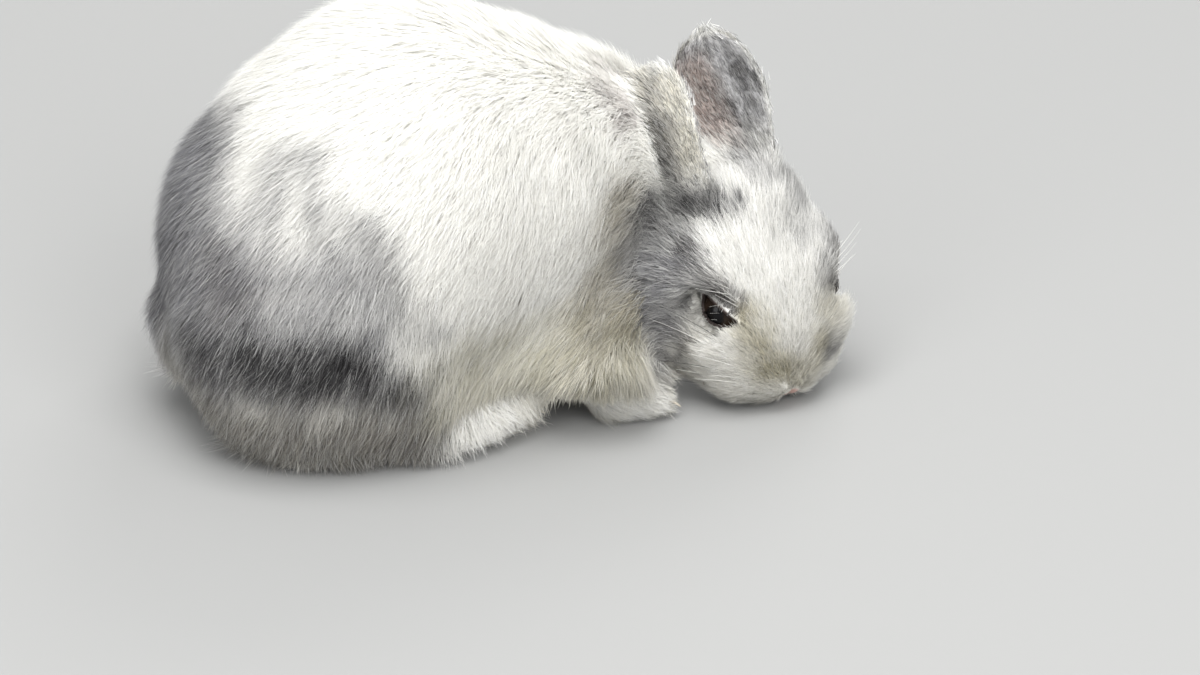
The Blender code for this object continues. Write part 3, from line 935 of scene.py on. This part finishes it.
def grown_blades(tufts, index, levels):
    """Spine, facing, width and direction of every blade, rooted round its tuft's own root."""
    total, steps = len(index), len(levels) - 1
    normal, lie = tufts.normal[index], tufts.lie[index]
    across = np.cross(normal, lie)
    length = tufts.length[index] * rng.uniform(*LENGTHS, total)
    length = length * (0.85 + 0.3 * rng.random(tufts.count))[index]
    width = tufts.width[index] * rng.uniform(*WIDTHS, total)
    spread = (1.0 / np.sqrt(tufts.density[index] / BLADES_PER_TUFT)) * 0.72
    off_along = rng.normal(size=total) * spread
    off_across = rng.normal(size=total) * spread
    lean = rng.normal(size=tufts.count)[index] * TUFT_LEAN + rng.normal(size=total) * BLADE_LEAN
    lie = unit(lie + across * lean[:, None])
    across = np.cross(normal, lie)
    rise = np.clip(tufts.rise[index] / length, 0.04, 0.85)
    rise = rise * rng.uniform(*RISES, total) * (0.88 + 0.24 * rng.random(tufts.count))[index]
    mean_angle = np.arcsin(np.clip(rise, 0.02, 0.9))
    clump = tufts.clump[index] * rng.uniform(*CLUMPS, total)
    roll = rng.normal(size=total) * BLADE_ROLL
    bow = rng.normal(size=total) * BLADE_BOW
    # The root goes deeper the further it is from the tuft's, as the skin curves away.
    spine = np.empty((total, steps + 1, 3))
    root = tufts.root[index] + lie * off_along[:, None] + across * off_across[:, None]
    spine[:, 0] = root - normal * (ROOT_DEPTH + 0.02 * (off_along ** 2 + off_across ** 2))[:, None]
    place = np.zeros((total, 3))
    for k in range(steps):
        middle = (levels[k] + levels[k + 1]) / 2
        angle = mean_angle * (1.75 - 1.5 * middle)
        side = bow * (2.0 * middle)
        step = length / steps
        place = place + step[:, None] * (lie * (np.cos(angle) * np.cos(side))[:, None]
                                         + normal * np.sin(angle)[:, None]
                                         + across * (np.cos(angle) * np.sin(side))[:, None])
        # The blades of a tuft draw together towards their tips.
        gather = (1.0 - clump * levels[k + 1] ** 1.2)[:, None]
        drawn = lie * off_along[:, None] + across * off_across[:, None] * gather
        spine[:, k + 1] = (tufts.root[index] - normal * 0.2) + drawn + place
    # Hair that would reach the floor bends along it.
    floor = 0.25 + 0.5 * rng.random(total)[:, None]
    spine[:, :, 2] = np.maximum(spine[:, :, 2], floor)
    facing = unit(across * np.cos(roll)[:, None] + normal * np.sin(roll)[:, None])
    return spine, facing, width, lie


def blade_faces(total, steps):
    """Loops and face starts of blades that are quads ending in a triangle."""
    pattern = []
    for k in range(0, 2 * (steps - 1), 2):
        pattern += [k + 1, k, k + 2, k + 3]
    pattern = np.array(pattern + [2 * steps - 1, 2 * steps - 2, 2 * steps])
    firsts = np.arange(total)[:, None]
    sizes = np.array([4] * (steps - 1) + [3])
    loops = firsts * (2 * steps + 1) + pattern
    starts = firsts * len(pattern) + np.cumsum(sizes) - sizes
    return loops.ravel(), starts.ravel()


def blade_normals(tufts, index, spine, facing, lie):
    """Normals that follow the skin's more than the blade's own, so that the coat reads as soft."""
    normal = tufts.normal[index]
    own = unit(np.cross(facing, lie))
    own = own * np.sign((own * normal).sum(1, keepdims=True))
    bent = unit(normal * 0.80 + own * 0.35)
    runs = unit(np.gradient(spine, axis=1))
    corners = 2 * spine.shape[1] - 1
    shade = np.stack([flat_on(bent, runs[:, k // 2]) for k in range(corners)], axis=1)
    body = 0.24 + 0.20 * np.clip(tufts.grey[index], 0.0, 1.0) + 0.38 * tufts.relief[index]
    return unit(shade * body[:, None, None] + (normal * (1.0 - body)[:, None])[:, None])


def blades_of(tufts, steps):
    """Arrays of one mesh holding every blade: points, loops, face starts, colours, UVs, normals."""
    per, corners = BLADES_PER_TUFT, 2 * steps + 1
    index = np.repeat(np.arange(tufts.count), per)
    member = np.tile(np.arange(per), tufts.count)
    total = len(index)
    levels = np.linspace(0.0, 1.0, steps + 1)
    spine, facing, width, lie = grown_blades(tufts, index, levels)
    taper = 1.0 - TIP_NARROWING * levels ** 1.6
    points = np.empty((total, corners, 3))
    for k in range(steps):
        half = facing * (0.5 * width * taper[k])[:, None]
        points[:, 2 * k] = spine[:, k] - half
        points[:, 2 * k + 1] = spine[:, k] + half
    points[:, 2 * steps] = spine[:, steps]
    loops, starts = blade_faces(total, steps)
    along = np.append(np.repeat(levels[:steps], 2), 1.0)
    colours = blade_colours(tufts, index, along)
    # Each blade of a tuft has its own strip of the tuft's patch.
    sideways = np.append(np.tile((-0.35, 0.35), steps), 0.0)
    strip = ((member + 0.5) / per - 0.5)[:, None] + sideways[None] / per
    uv = np.empty((total, corners, 2))
    uv[:, :, 0] = tufts.uv[index, 0][:, None] + UV_PATCH * strip
    uv[:, :, 1] = tufts.uv[index, 1][:, None] + UV_PATCH * (along[None] - 0.5)
    shade = blade_normals(tufts, index, spine, facing, lie)
    return points.reshape(-1, 3), loops, starts, colours, uv.reshape(-1, 2), shade.reshape(-1, 3)


def blade_colours(tufts, index, along):
    """Grey hair dark at the root and silver at the tip; white hair a little darker at the root, as
    painted shade.
    """
    total = len(index)
    mean = tufts.colour[index]
    grey = np.clip(tufts.grey[index], 0.0, 1.0)
    patchy = rng.normal(size=tufts.count)[index]
    draw = rng.random(total)
    ticking = np.clip(tufts.ticking[index] + grey, 0.0, 1.2)
    relief = tufts.relief[index]
    deep = smoothstep(0.78, 0.95, grey)
    tone = 1.0 + (0.03 + 0.045 * relief + 0.09 * ticking) * patchy
    tone += (0.05 + 0.03 * relief + 0.25 * ticking) * rng.normal(size=total)
    tone = np.clip(tone, 0.35, 1.6)
    pale = draw < (0.10 + 0.20 * ticking) * (1.0 - 0.6 * deep)
    dark = draw > 1.0 - 0.20 * ticking
    colour = mean * tone[:, None]
    pale = (pale & (ticking > 0.08))[:, None]
    colour = np.where(pale, 0.42 * colour + 0.58 * WHITE * 0.88, colour)
    colour = np.where(dark[:, None], colour * 0.45, colour)
    # Roots darker: by the greyness as the grey hair's own colour, and by the rest as painted shade
    # deep in the coat, strongest on the face and feet.
    root = colour * (1.0 - 0.06 - 0.14 * relief * (1.0 - grey) - 0.42 * grey)[:, None]
    lift = (0.30 * grey * (1.0 - 0.8 * deep))[:, None]
    tip = colour * (1.0 - lift) + (SILVER * 1.1) * lift
    share = smoothstep(0.15, 0.95, along)[None, :, None]
    mixed = root[:, None] * (1 - share) + tip[:, None] * share
    return np.clip(mixed, 0.004, 0.93).reshape(-1, 3)


def coat_piece(name, tufts, steps, material):
    points, loops, starts, colours, uv, shade = blades_of(tufts, steps)
    mesh = new_mesh(name, points, loops, starts)
    paint(mesh, "coat", colours)
    layer = mesh.uv_layers.new(name="OFBake")
    layer.data.foreach_set("uv", uv[loops].astype(np.float32).ravel())
    mesh.normals_split_custom_set_from_vertices(shade.astype(np.float32))
    obj = new_object(name, mesh, material)
    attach(obj, "root")


# ---------------------------------------------------------------- materials
def shader(name, roughness, specular, **extra):
    """A Principled material; returns it with its node tree and shader node."""
    material = bpy.data.materials.new(name)
    material.use_nodes = True
    tree = material.node_tree
    principled = tree.nodes["Principled BSDF"]
    principled.inputs["Roughness"].default_value = roughness
    principled.inputs["Specular IOR Level"].default_value = specular
    for socket, value in extra.items():
        principled.inputs[socket.replace("_", " ")].default_value = value
    return material, tree, principled


def noise_node(tree, scale, detail, stretch=(1.0, 1.0, 1.0)):
    where = tree.nodes.new("ShaderNodeTexCoord")
    mapping = tree.nodes.new("ShaderNodeMapping")
    mapping.inputs["Scale"].default_value = stretch
    noise = tree.nodes.new("ShaderNodeTexNoise")
    noise.inputs["Scale"].default_value = scale
    noise.inputs["Detail"].default_value = detail
    tree.links.new(where.outputs["Object"], mapping.inputs["Vector"])
    tree.links.new(mapping.outputs["Vector"], noise.inputs["Vector"])
    return noise


def tinted(tree, source, noise, low, high):
    """The source colour made darker and lighter by the noise."""
    span = tree.nodes.new("ShaderNodeMapRange")
    span.inputs["To Min"].default_value = low
    span.inputs["To Max"].default_value = high
    tree.links.new(noise.outputs["Fac"], span.inputs["Value"])
    mix = tree.nodes.new("ShaderNodeVectorMath")
    mix.operation = "SCALE"
    tree.links.new(source, mix.inputs[0])
    tree.links.new(span.outputs["Result"], mix.inputs["Scale"])
    return mix.outputs["Vector"]


def bump(material, noise, strength, distance):
    tree = material.node_tree
    node = tree.nodes.new("ShaderNodeBump")
    node.inputs["Strength"].default_value = strength
    node.inputs["Distance"].default_value = distance
    tree.links.new(noise.outputs["Fac"], node.inputs["Height"])
    tree.links.new(node.outputs["Normal"], tree.nodes["Principled BSDF"].inputs["Normal"])


def marked_material(name, layer, grain, tint, *surface, **extra):
    """A material in the mesh's own colours, varied by a noise; with the noise and the colour."""
    material, tree, principled = shader(name, *surface, **extra)
    marks = tree.nodes.new("ShaderNodeAttribute")
    marks.attribute_name = layer
    noise = noise_node(tree, *grain)
    colour = tinted(tree, marks.outputs["Color"], noise, *tint)
    tree.links.new(colour, principled.inputs["Base Color"])
    return material, noise, colour


def hair_material():
    """Fine hair, with some light let through each blade."""
    material, _, colour = marked_material("hair", "coat", (900.0, 2.0), (0.94, 1.06), 0.62, 0.28)
    tree = material.node_tree
    through = tree.nodes.new("ShaderNodeBsdfTranslucent")
    tree.links.new(colour, through.inputs["Color"])
    mix = tree.nodes.new("ShaderNodeMixShader")
    mix.inputs["Fac"].default_value = SHOWN_THROUGH
    tree.links.new(tree.nodes["Principled BSDF"].outputs["BSDF"], mix.inputs[1])
    tree.links.new(through.outputs["BSDF"], mix.inputs[2])
    tree.links.new(mix.outputs["Shader"], tree.nodes["Material Output"].inputs["Surface"])
    return material


def skin_material():
    """Skin under the coat, with fine down and pores."""
    material, down, _ = marked_material("skin", "coat", (700.0, 5.0), (0.82, 1.12), 0.68, 0.3)
    bump(material, down, 0.5, 0.0006)
    return material


def eye_material():
    """A dark wet eye."""
    return marked_material("eyeball", "iris", (900.0, 2.0), (0.9, 1.1), 0.12, 0.12,
                           Coat_Weight=0.12, Coat_Roughness=0.03)[0]


def horn_material():
    """Claw horn, its grain drawn out along the claw."""
    grain = (400.0, 4.0, (1.0, 1.0, 6.0))
    material, noise, _ = marked_material("claw_horn", "horn", grain, (0.8, 1.15), 0.35, 0.5)
    bump(material, noise, 0.2, 0.0003)
    return material


# ---------------------------------------------------------------- small pieces
IRIS = linear(36, 27, 21)
IRIS_RIM = linear(24, 19, 17)
PUPIL = linear(8, 7, 8)
HORN = linear(126, 112, 98)
HORN_TIP = linear(196, 186, 168)


def joined(parts):
    """Points, loops and face starts of several sets of points and faces."""
    points, loops, starts, base = [], [], [], 0
    for part_points, faces in parts:
        points.append(part_points)
        for face in faces:
            starts.append(len(loops))
            loops += [base + v for v in face]
        base += len(part_points)
    return np.concatenate(points), np.array(loops), np.array(starts)


def painted_mesh(name, parts, layer, colours):
    mesh = new_mesh(name, *joined(parts))
    paint(mesh, layer, colours)
    return mesh


def tube(path, radii, sides):
    """Points and faces of a round tapered tube along a path, closed at both ends."""
    run = unit(np.gradient(path, axis=0))
    guide = np.array((0.0, 0.0, 1.0)) if abs(run[0][2]) < 0.9 else np.array((1.0, 0.0, 0.0))
    points = []
    for place, way, radius in zip(path, run, radii):
        side = unit(np.cross(guide, way))
        top = np.cross(way, side)
        for k in range(sides):
            angle = 2.0 * math.pi * k / sides
            points.append(place + radius * (side * math.cos(angle) + top * math.sin(angle)))
    points += [path[0] - run[0] * radii[0] * 0.5, path[-1] + run[-1] * radii[-1] * 0.8]
    faces = []
    for ring in range(len(path) - 1):
        for k in range(sides):
            a, b = ring * sides + k, ring * sides + (k + 1) % sides
            faces.append((a, b, b + sides, a + sides))
    end = (len(path) - 1) * sides
    for k in range(sides):
        following = (k + 1) % sides
        faces.append((following, k, len(points) - 2))
        faces.append((end + k, end + following, len(points) - 1))
    return np.array(points), faces


def eyeball(node, material):
    """A ball with a slightly domed cornea, in the socket that its solid marks."""
    rings, segments = 40, 56
    polar = np.linspace(0.0, math.pi, rings + 1)[1:-1]
    turn = np.arange(segments) * 2.0 * math.pi / segments
    reach = EYE_RADIUS - 0.5 + 0.5 * smoothstep(0.95, 0.0, polar)
    out = (reach * np.cos(polar))[:, None] * np.ones(segments)
    along = (reach * np.sin(polar))[:, None] * np.cos(turn)
    rise = (reach * np.sin(polar))[:, None] * np.sin(turn)
    local = np.stack((out, along, rise), axis=2).reshape(-1, 3)
    local = np.concatenate((local, ((reach[0], 0, 0), (-reach[-1], 0, 0))))
    front, back = len(local) - 2, len(local) - 1
    last = (rings - 2) * segments
    faces = []
    for first in range(0, last, segments):
        for s in range(segments):
            a, b = first + s, first + (s + 1) % segments
            faces.append((a, a + segments, b + segments, b))
    for s in range(segments):
        t = (s + 1) % segments
        faces += [(front, s, t), (back, last + t, last + s)]
    # The pupil, the iris and its rim lie at set angles from the axis.
    off = np.degrees(np.arccos(np.clip(local[:, 0] / np.linalg.norm(local, axis=1), -1, 1)))
    colours = blend(PUPIL, IRIS, smoothstep(24.0, 30.0, off))
    colours = blend(colours, IRIS_RIM, smoothstep(56.0, 66.0, off))
    placed = local @ eye_axes(node) + eye_centre(node)
    mesh = painted_mesh("ball_" + node, [(placed, faces)], "iris", colours)
    obj = new_object("eyeball_" + node.split("_")[1], mesh, material)
    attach(obj, "root")
    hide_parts(node)


def whiskers(skin, material):
    """Whiskers from both pads and a few long hairs over each eye, in one piece."""
    parts, colours = [], []
    tree = search_tree(skin.points, skin.faces)
    levels = np.linspace(0.0, 1.0, 8)

    def grow(start, out, length, droop, shade, thick=0.15):
        """One hair from the skin nearest its start, its way out given in the head's frame."""
        way = unit(out) @ HEAD_AXES
        path = nearest(tree, start) + way * (levels * length)[:, None]
        path += np.array((-0.25, -0.05, droop)) * (length * 0.35 * levels ** 2)[:, None]
        points, faces = tube(path, thick * (1.0 - 0.85 * levels) + 0.02, 4)
        points[:, 2] = np.maximum(points[:, 2], WHISKER_CLEARANCE)
        parts.append((points, faces))
        colours.append(np.tile(WHITE * shade, (len(points), 1)))

    for side in (1.0, -1.0):
        for row in range(4):
            for place in range(5):
                start = from_head((7.0 + 2.9 * place + rng.normal() * 0.4,
                                   side * (9.0 + 0.9 * place), 5.5 - 3.0 * row + rng.normal() * 0.4))
                out = np.array((0.55 + 0.20 * place, side * 1.0, 0.10 - 0.16 * row))
                out = out + rng.normal(size=3) * 0.08
                length = rng.uniform(26.0, 44.0) * (0.75 + 0.10 * place)
                grow(start, out, length, -0.25, 0.95 if rng.random() < 0.82 else 0.08)
        if side > 0:
            # A few pale hairs stray across the near eye from below.
            axes = eye_axes("eye_right")
            for place in range(3):
                at = np.array((EYE_RADIUS * 0.75, -7.5 + 2.8 * place, -4.6 - 0.4 * place))
                out = (np.array((0.62, 0.45, 0.75)) + rng.normal(size=3) * 0.12) @ axes
                length = rng.uniform(9.0, 13.0)
                grow(at @ axes + eye_centre("eye_right"), out @ HEAD_AXES.T, length, 0.0, 0.9, 0.04)
        for k in range(5):
            out = np.array((0.5, side * 0.9, 0.55)) + rng.normal(size=3) * 0.12
            length = rng.uniform(11.0, 20.0)
            grow(from_head((42.0 - 2.2 * k, side * 22.0, 24.0)), out, length, 0.1, 0.85)
    mesh = painted_mesh("whiskers", parts, "coat", np.concatenate(colours))
    obj = new_object("whiskers", mesh, material)
    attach(obj, "root")


def claws(skin, material, node):
    """Four curved claws that show at the tips of a foot's toes, as one piece."""
    tip, heading, crosswise, half = foot_frame(node)
    tree = search_tree(skin.points, skin.faces)
    levels = np.linspace(0.0, 1.0, 7)
    parts, colours = [], []
    for toe in TOES:
        start = tip + crosswise * toe * half - heading * 3.0 * abs(toe)
        start = start + np.array((0.0, 0.0, 5.5 - tip[2]))
        root = nearest(tree, start + heading * 4.0) - heading * 1.0
        fan = unit(heading + crosswise * 0.22 * toe)
        path = root + fan * (levels * CLAW_LENGTH)[:, None]
        path[:, 2] += 1.2 * levels - 4.2 * levels ** 2
        path[:, 2] = np.maximum(path[:, 2], CLAW_CLEARANCE)
        points, faces = tube(path, 1.0 * (1.0 - 0.8 * levels ** 1.5), 10)
        parts.append((points, faces))
        share = np.clip((points - root) @ fan / CLAW_LENGTH, 0.0, 1.0)
        colours.append(blend(HORN, HORN_TIP, share))
    mesh = painted_mesh("claws_" + node, parts, "horn", np.concatenate(colours))
    obj = new_object("claws_" + node, mesh, material)
    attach(obj, "root")


# ---------------------------------------------------------------- where the coat differs
def bare_places(skin):
    """How bare of hair the skin is: 1 at the nostrils and at the lids' margins."""
    place = to_head(skin.points)
    bare = smoothstep(5.0, 3.0, np.linalg.norm(place * (1.0, 1.0, 0.9), axis=1))
    for node in EYES:
        out, _, _, beyond = eye_view(node, skin.points)
        bare = np.maximum(bare, np.where(out > 0, smoothstep(1.5, 0.9, beyond), 0.0))
    return bare


def ring_of_eyes(skin):
    """1 on the dark rim of short hair round each eye, strongest above and at the corners."""
    ring = np.zeros(len(skin.points))
    for node in EYES:
        out, along, rise, beyond = eye_view(node, skin.points)
        above = np.maximum(smoothstep(-0.5, 2.5, rise), smoothstep(-5.5, -8.0, along))
        amount = smoothstep(3.4, 1.2, beyond) * (0.28 + 0.47 * above)
        ring = np.maximum(ring, np.where(out > 0.0, amount, 0.0))
    return ring


def inside_of_ears(skin):
    """1 on the faces of the ears that look out of their hollows."""
    inner = np.zeros(len(skin.points))
    for node, (_, axes, _, _) in EAR_FRAMES.items():
        here = skin.owner == FLESH.index(node)
        inner[here] = smoothstep(0.0, 0.4, skin.normals[here] @ axes[2])
    return inner


def nearness_to_ears(skin, reach):
    """1 where the neck touches an ear, 0 beyond the given reach."""
    points, faces, _ = stacked(solids_of(EAR_FRAMES))
    tree = search_tree(points, faces)
    close = np.zeros(len(skin.points))
    for index in np.where(skin.kinds == "neck")[0]:
        found = tree.find_nearest(Vector(skin.points[index]), reach)
        if found[0] is not None:
            close[index] = 1.0 - found[3] / reach
    return close


def skin_colours(skin, bare, from_eyes):
    """The coat's marks, dimmed under the hair, and bare skin at the lids and the nose."""
    colour, grey = coat_colours(skin.coat_face, skin.kinds, skin.normals)
    bare_colour = blend(NOSE, LID, smoothstep(15.0, 9.0, from_eyes))
    return blend(colour * (0.92 - 0.25 * grey)[:, None], bare_colour, bare)


def coat_fields(skin, bare, from_eyes):
    """What each tuft reads from the skin under it, and how many hairs stand on a square mm."""
    near, kinds, height = skin.near, skin.kinds, skin.points[:, 2]
    lie = lie_of_coat(skin)
    face = near.soft(kinds == "head", 6)
    toward_nose = nose_share(skin.points) * face
    relief = np.maximum(face, near.soft(np.isin(kinds, ("foreleg", "hind_foot")), 6))
    by_ears = nearness_to_ears(skin, EAR_SHADOW)
    by_lids = smoothstep(0.0, 8.0, from_eyes - EYE_RADIUS)
    # The haunch's lowest hair hangs over the hind foot, the chest's over the foreleg.
    low_haunch = (kinds == "haunch") * smoothstep(40.0, 20.0, height)
    high_leg = (kinds == "foreleg") * smoothstep(12.0, 26.0, height)
    chest_front = smoothstep(26.0, 8.0, from_segment(skin.points, *CHEST_FRONT)) * (1.0 - face)
    length = per_point(skin, "length") * (1.0 - 0.5 * toward_nose) * (0.32 + 0.68 * by_lids)
    length *= 1.0 - 0.55 * by_ears
    length *= 1.0 + 0.30 * near.smooth(low_haunch, 8) + 0.15 * near.smooth(high_leg, 8)
    length *= 1.0 + 0.7 * chest_front * smoothstep(14.0, 30.0, height)
    raised = 1.0 + 0.25 * face + 0.6 * chest_front + 0.1 * near.soft(kinds == "tail", 4)
    depth = per_point(skin, "depth") * (1.0 - 0.35 * toward_nose) * raised * (1.0 - 0.4 * by_ears)
    rise = depth * 0.82 * (0.35 + 0.65 * by_lids)
    rise *= 1.0 - 0.5 * smoothstep(9.0, 3.0, np.linalg.norm(skin.points - NOSE_TIP, axis=1))
    # A hair shows its colour half its length away from its root.
    colour, grey = coat_colours(skin.coat_face + lie * (0.5 * length)[:, None], kinds, skin.normals)
    eye_ring = ring_of_eyes(skin)
    # The blades spread by the cover alone, so that they stay off the lids where density falls.
    cover = per_point(skin, "density") * (1.0 + 0.4 * toward_nose) * (1.0 - 0.5 * inside_of_ears(skin))
    cover *= 1.0 - 0.6 * smoothstep(4.0, 1.6, height)
    fringe = near.smooth((kinds == "haunch") * smoothstep(44.0, 26.0, height), 6)
    fields = dict(
        lie=lie, length=length, rise=rise, density=np.maximum(cover, 0.3),
        width=per_point(skin, "width") * (1.0 - 0.2 * toward_nose),
        clump=0.20 * (1.0 - 0.6 * skin.is_ear) + 0.42 * relief,
        colour=blend(colour, LID * 1.2, eye_ring), grey=np.maximum(grey, 0.8 * eye_ring),
        ticking=0.9 * skin.is_ear + 0.5 * fringe, relief=np.maximum(relief, 0.8 * fringe))
    return fields, cover * (1.0 - bare)


def pieces_of(node, mine, centres):
    """The coat pieces of a node, each with its own triangles of the skin."""
    if node == "head":
        left = to_head(centres[mine])[:, 1] < 0.0
        return {"head_left": mine[left], "head_right": mine[~left]}
    if node != "trunk":
        return {node: mine}
    left = centres[mine, 1] > 0.0
    stretch = np.digitize(centres[mine, 0], TRUNK_SPLITS)
    parts = {}
    for number, place in enumerate(("rear", "middle", "fore")):
        parts["trunk_" + place + "_left"] = mine[(stretch == number) & left]
        parts["trunk_" + place + "_right"] = mine[(stretch == number) & ~left]
    return parts


# ---------------------------------------------------------------- assembly
skin = dress_skin()
sculpt_face(skin)
from_eyes = np.min([np.linalg.norm(skin.points - eye_centre(node), axis=1) for node in EYES], axis=0)
bare = bare_places(skin)

skin_object = new_object("skin", even_mesh("skin", skin.points, skin.faces), skin_material())
uv = unwrapped(skin_object)
paint(skin_object.data, "coat", skin_colours(skin, bare, from_eyes))
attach(skin_object, "root")
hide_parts(*FLESH)

hair = hair_material()
fields, density = coat_fields(skin, bare, from_eyes)
centres = skin.points[skin.faces].mean(1)
face_owner = skin.owner[skin.faces[:, 0]]
coat_total = 0
for number, node in enumerate(FLESH):
    for name, triangles in pieces_of(node, np.where(face_owner == number)[0], centres).items():
        tufts = sow(skin, fields, uv, triangles, density, COAT_SHARE)
        coat_piece("coat_" + name, tufts, BLADE_STEPS, hair)
        count = tufts.count * BLADES_PER_TUFT * (2 * BLADE_STEPS - 1)
        coat_total += count
        print("coat", name, "tufts", tufts.count, "triangles", count)
print("coat triangles in all", coat_total, "skin triangles", len(skin.faces))

eye_gloss = eye_material()
for node in EYES:
    eyeball(node, eye_gloss)
whiskers(skin, hair)
horn = horn_material()
for node in FEET:
    claws(skin, horn, node)


# ---------------------------------------------------------------- stage, light and camera
FLOOR_HALF = 4000.0
FLOOR_TONE = (0.27, 0.27, 0.265, 1.0)
SKY_TONE = (0.97, 0.985, 1.0, 1.0)
SKY_STRENGTH = 0.76
# name, place and size in metres, power in watts
PANELS = (
    ("sky_panel", (-0.3, -0.5, 2.2), 1.6, 66.0),
    ("side_panel", (-1.6, -1.6, 1.3), 1.2, 16.0),
    ("front_panel", (0.6, -1.9, 1.5), 1.4, 40.0),
    ("rear_panel", (0.9, 1.7, 1.3), 1.2, 24.0),
)
PANELS_AIM = Vector((0.0, 0.0, 0.06))
CAMERA_AZIMUTH = math.radians(-8.0)
CAMERA_ELEVATION = math.radians(27.0)
CAMERA_DISTANCE = 2.47
CAMERA_TARGET = Vector((0.0377, -0.0010, 0.0186))


def add_aimed(name, data, place, aim):
    """A lamp or camera at a place, looking along the aim."""
    obj = new_object(name, data)
    obj.location = place
    obj.rotation_euler = aim.to_track_quat("-Z", "Y").to_euler()
    return obj


def floor_and_light():
    corners = np.array(((-1, -1, 0), (1, -1, 0), (1, 1, 0), (-1, 1, 0))) * FLOOR_HALF
    material, _, principled = shader("floor_pale", 0.9, 0.2)
    principled.inputs["Base Color"].default_value = FLOOR_TONE
    floor = new_object("floor", even_mesh("floor", corners, np.arange(4)[None]), material)
    world = bpy.data.worlds.new("soft_sky")
    world.use_nodes = True
    background = world.node_tree.nodes["Background"]
    background.inputs["Color"].default_value = SKY_TONE
    background.inputs["Strength"].default_value = SKY_STRENGTH
    bpy.context.scene.world = world
    for name, place, size, power in PANELS:
        data = bpy.data.lights.new(name, "AREA")
        data.size = size
        data.energy = power
        add_aimed(name, data, place, PANELS_AIM - Vector(place))


def add_camera():
    data = bpy.data.cameras.new("camera")
    data.lens = 200.0
    data.sensor_width = 36.0
    data.clip_start = 0.05
    data.clip_end = 50.0
    level = math.cos(CAMERA_ELEVATION)
    toward = Vector((math.sin(CAMERA_AZIMUTH) * level, -math.cos(CAMERA_AZIMUTH) * level,
                     math.sin(CAMERA_ELEVATION)))
    place = CAMERA_TARGET + toward * CAMERA_DISTANCE
    bpy.context.scene.camera = add_aimed("camera", data, place, -toward)


floor_and_light()
add_camera()
bpy.context.scene.view_settings.view_transform = "Standard"
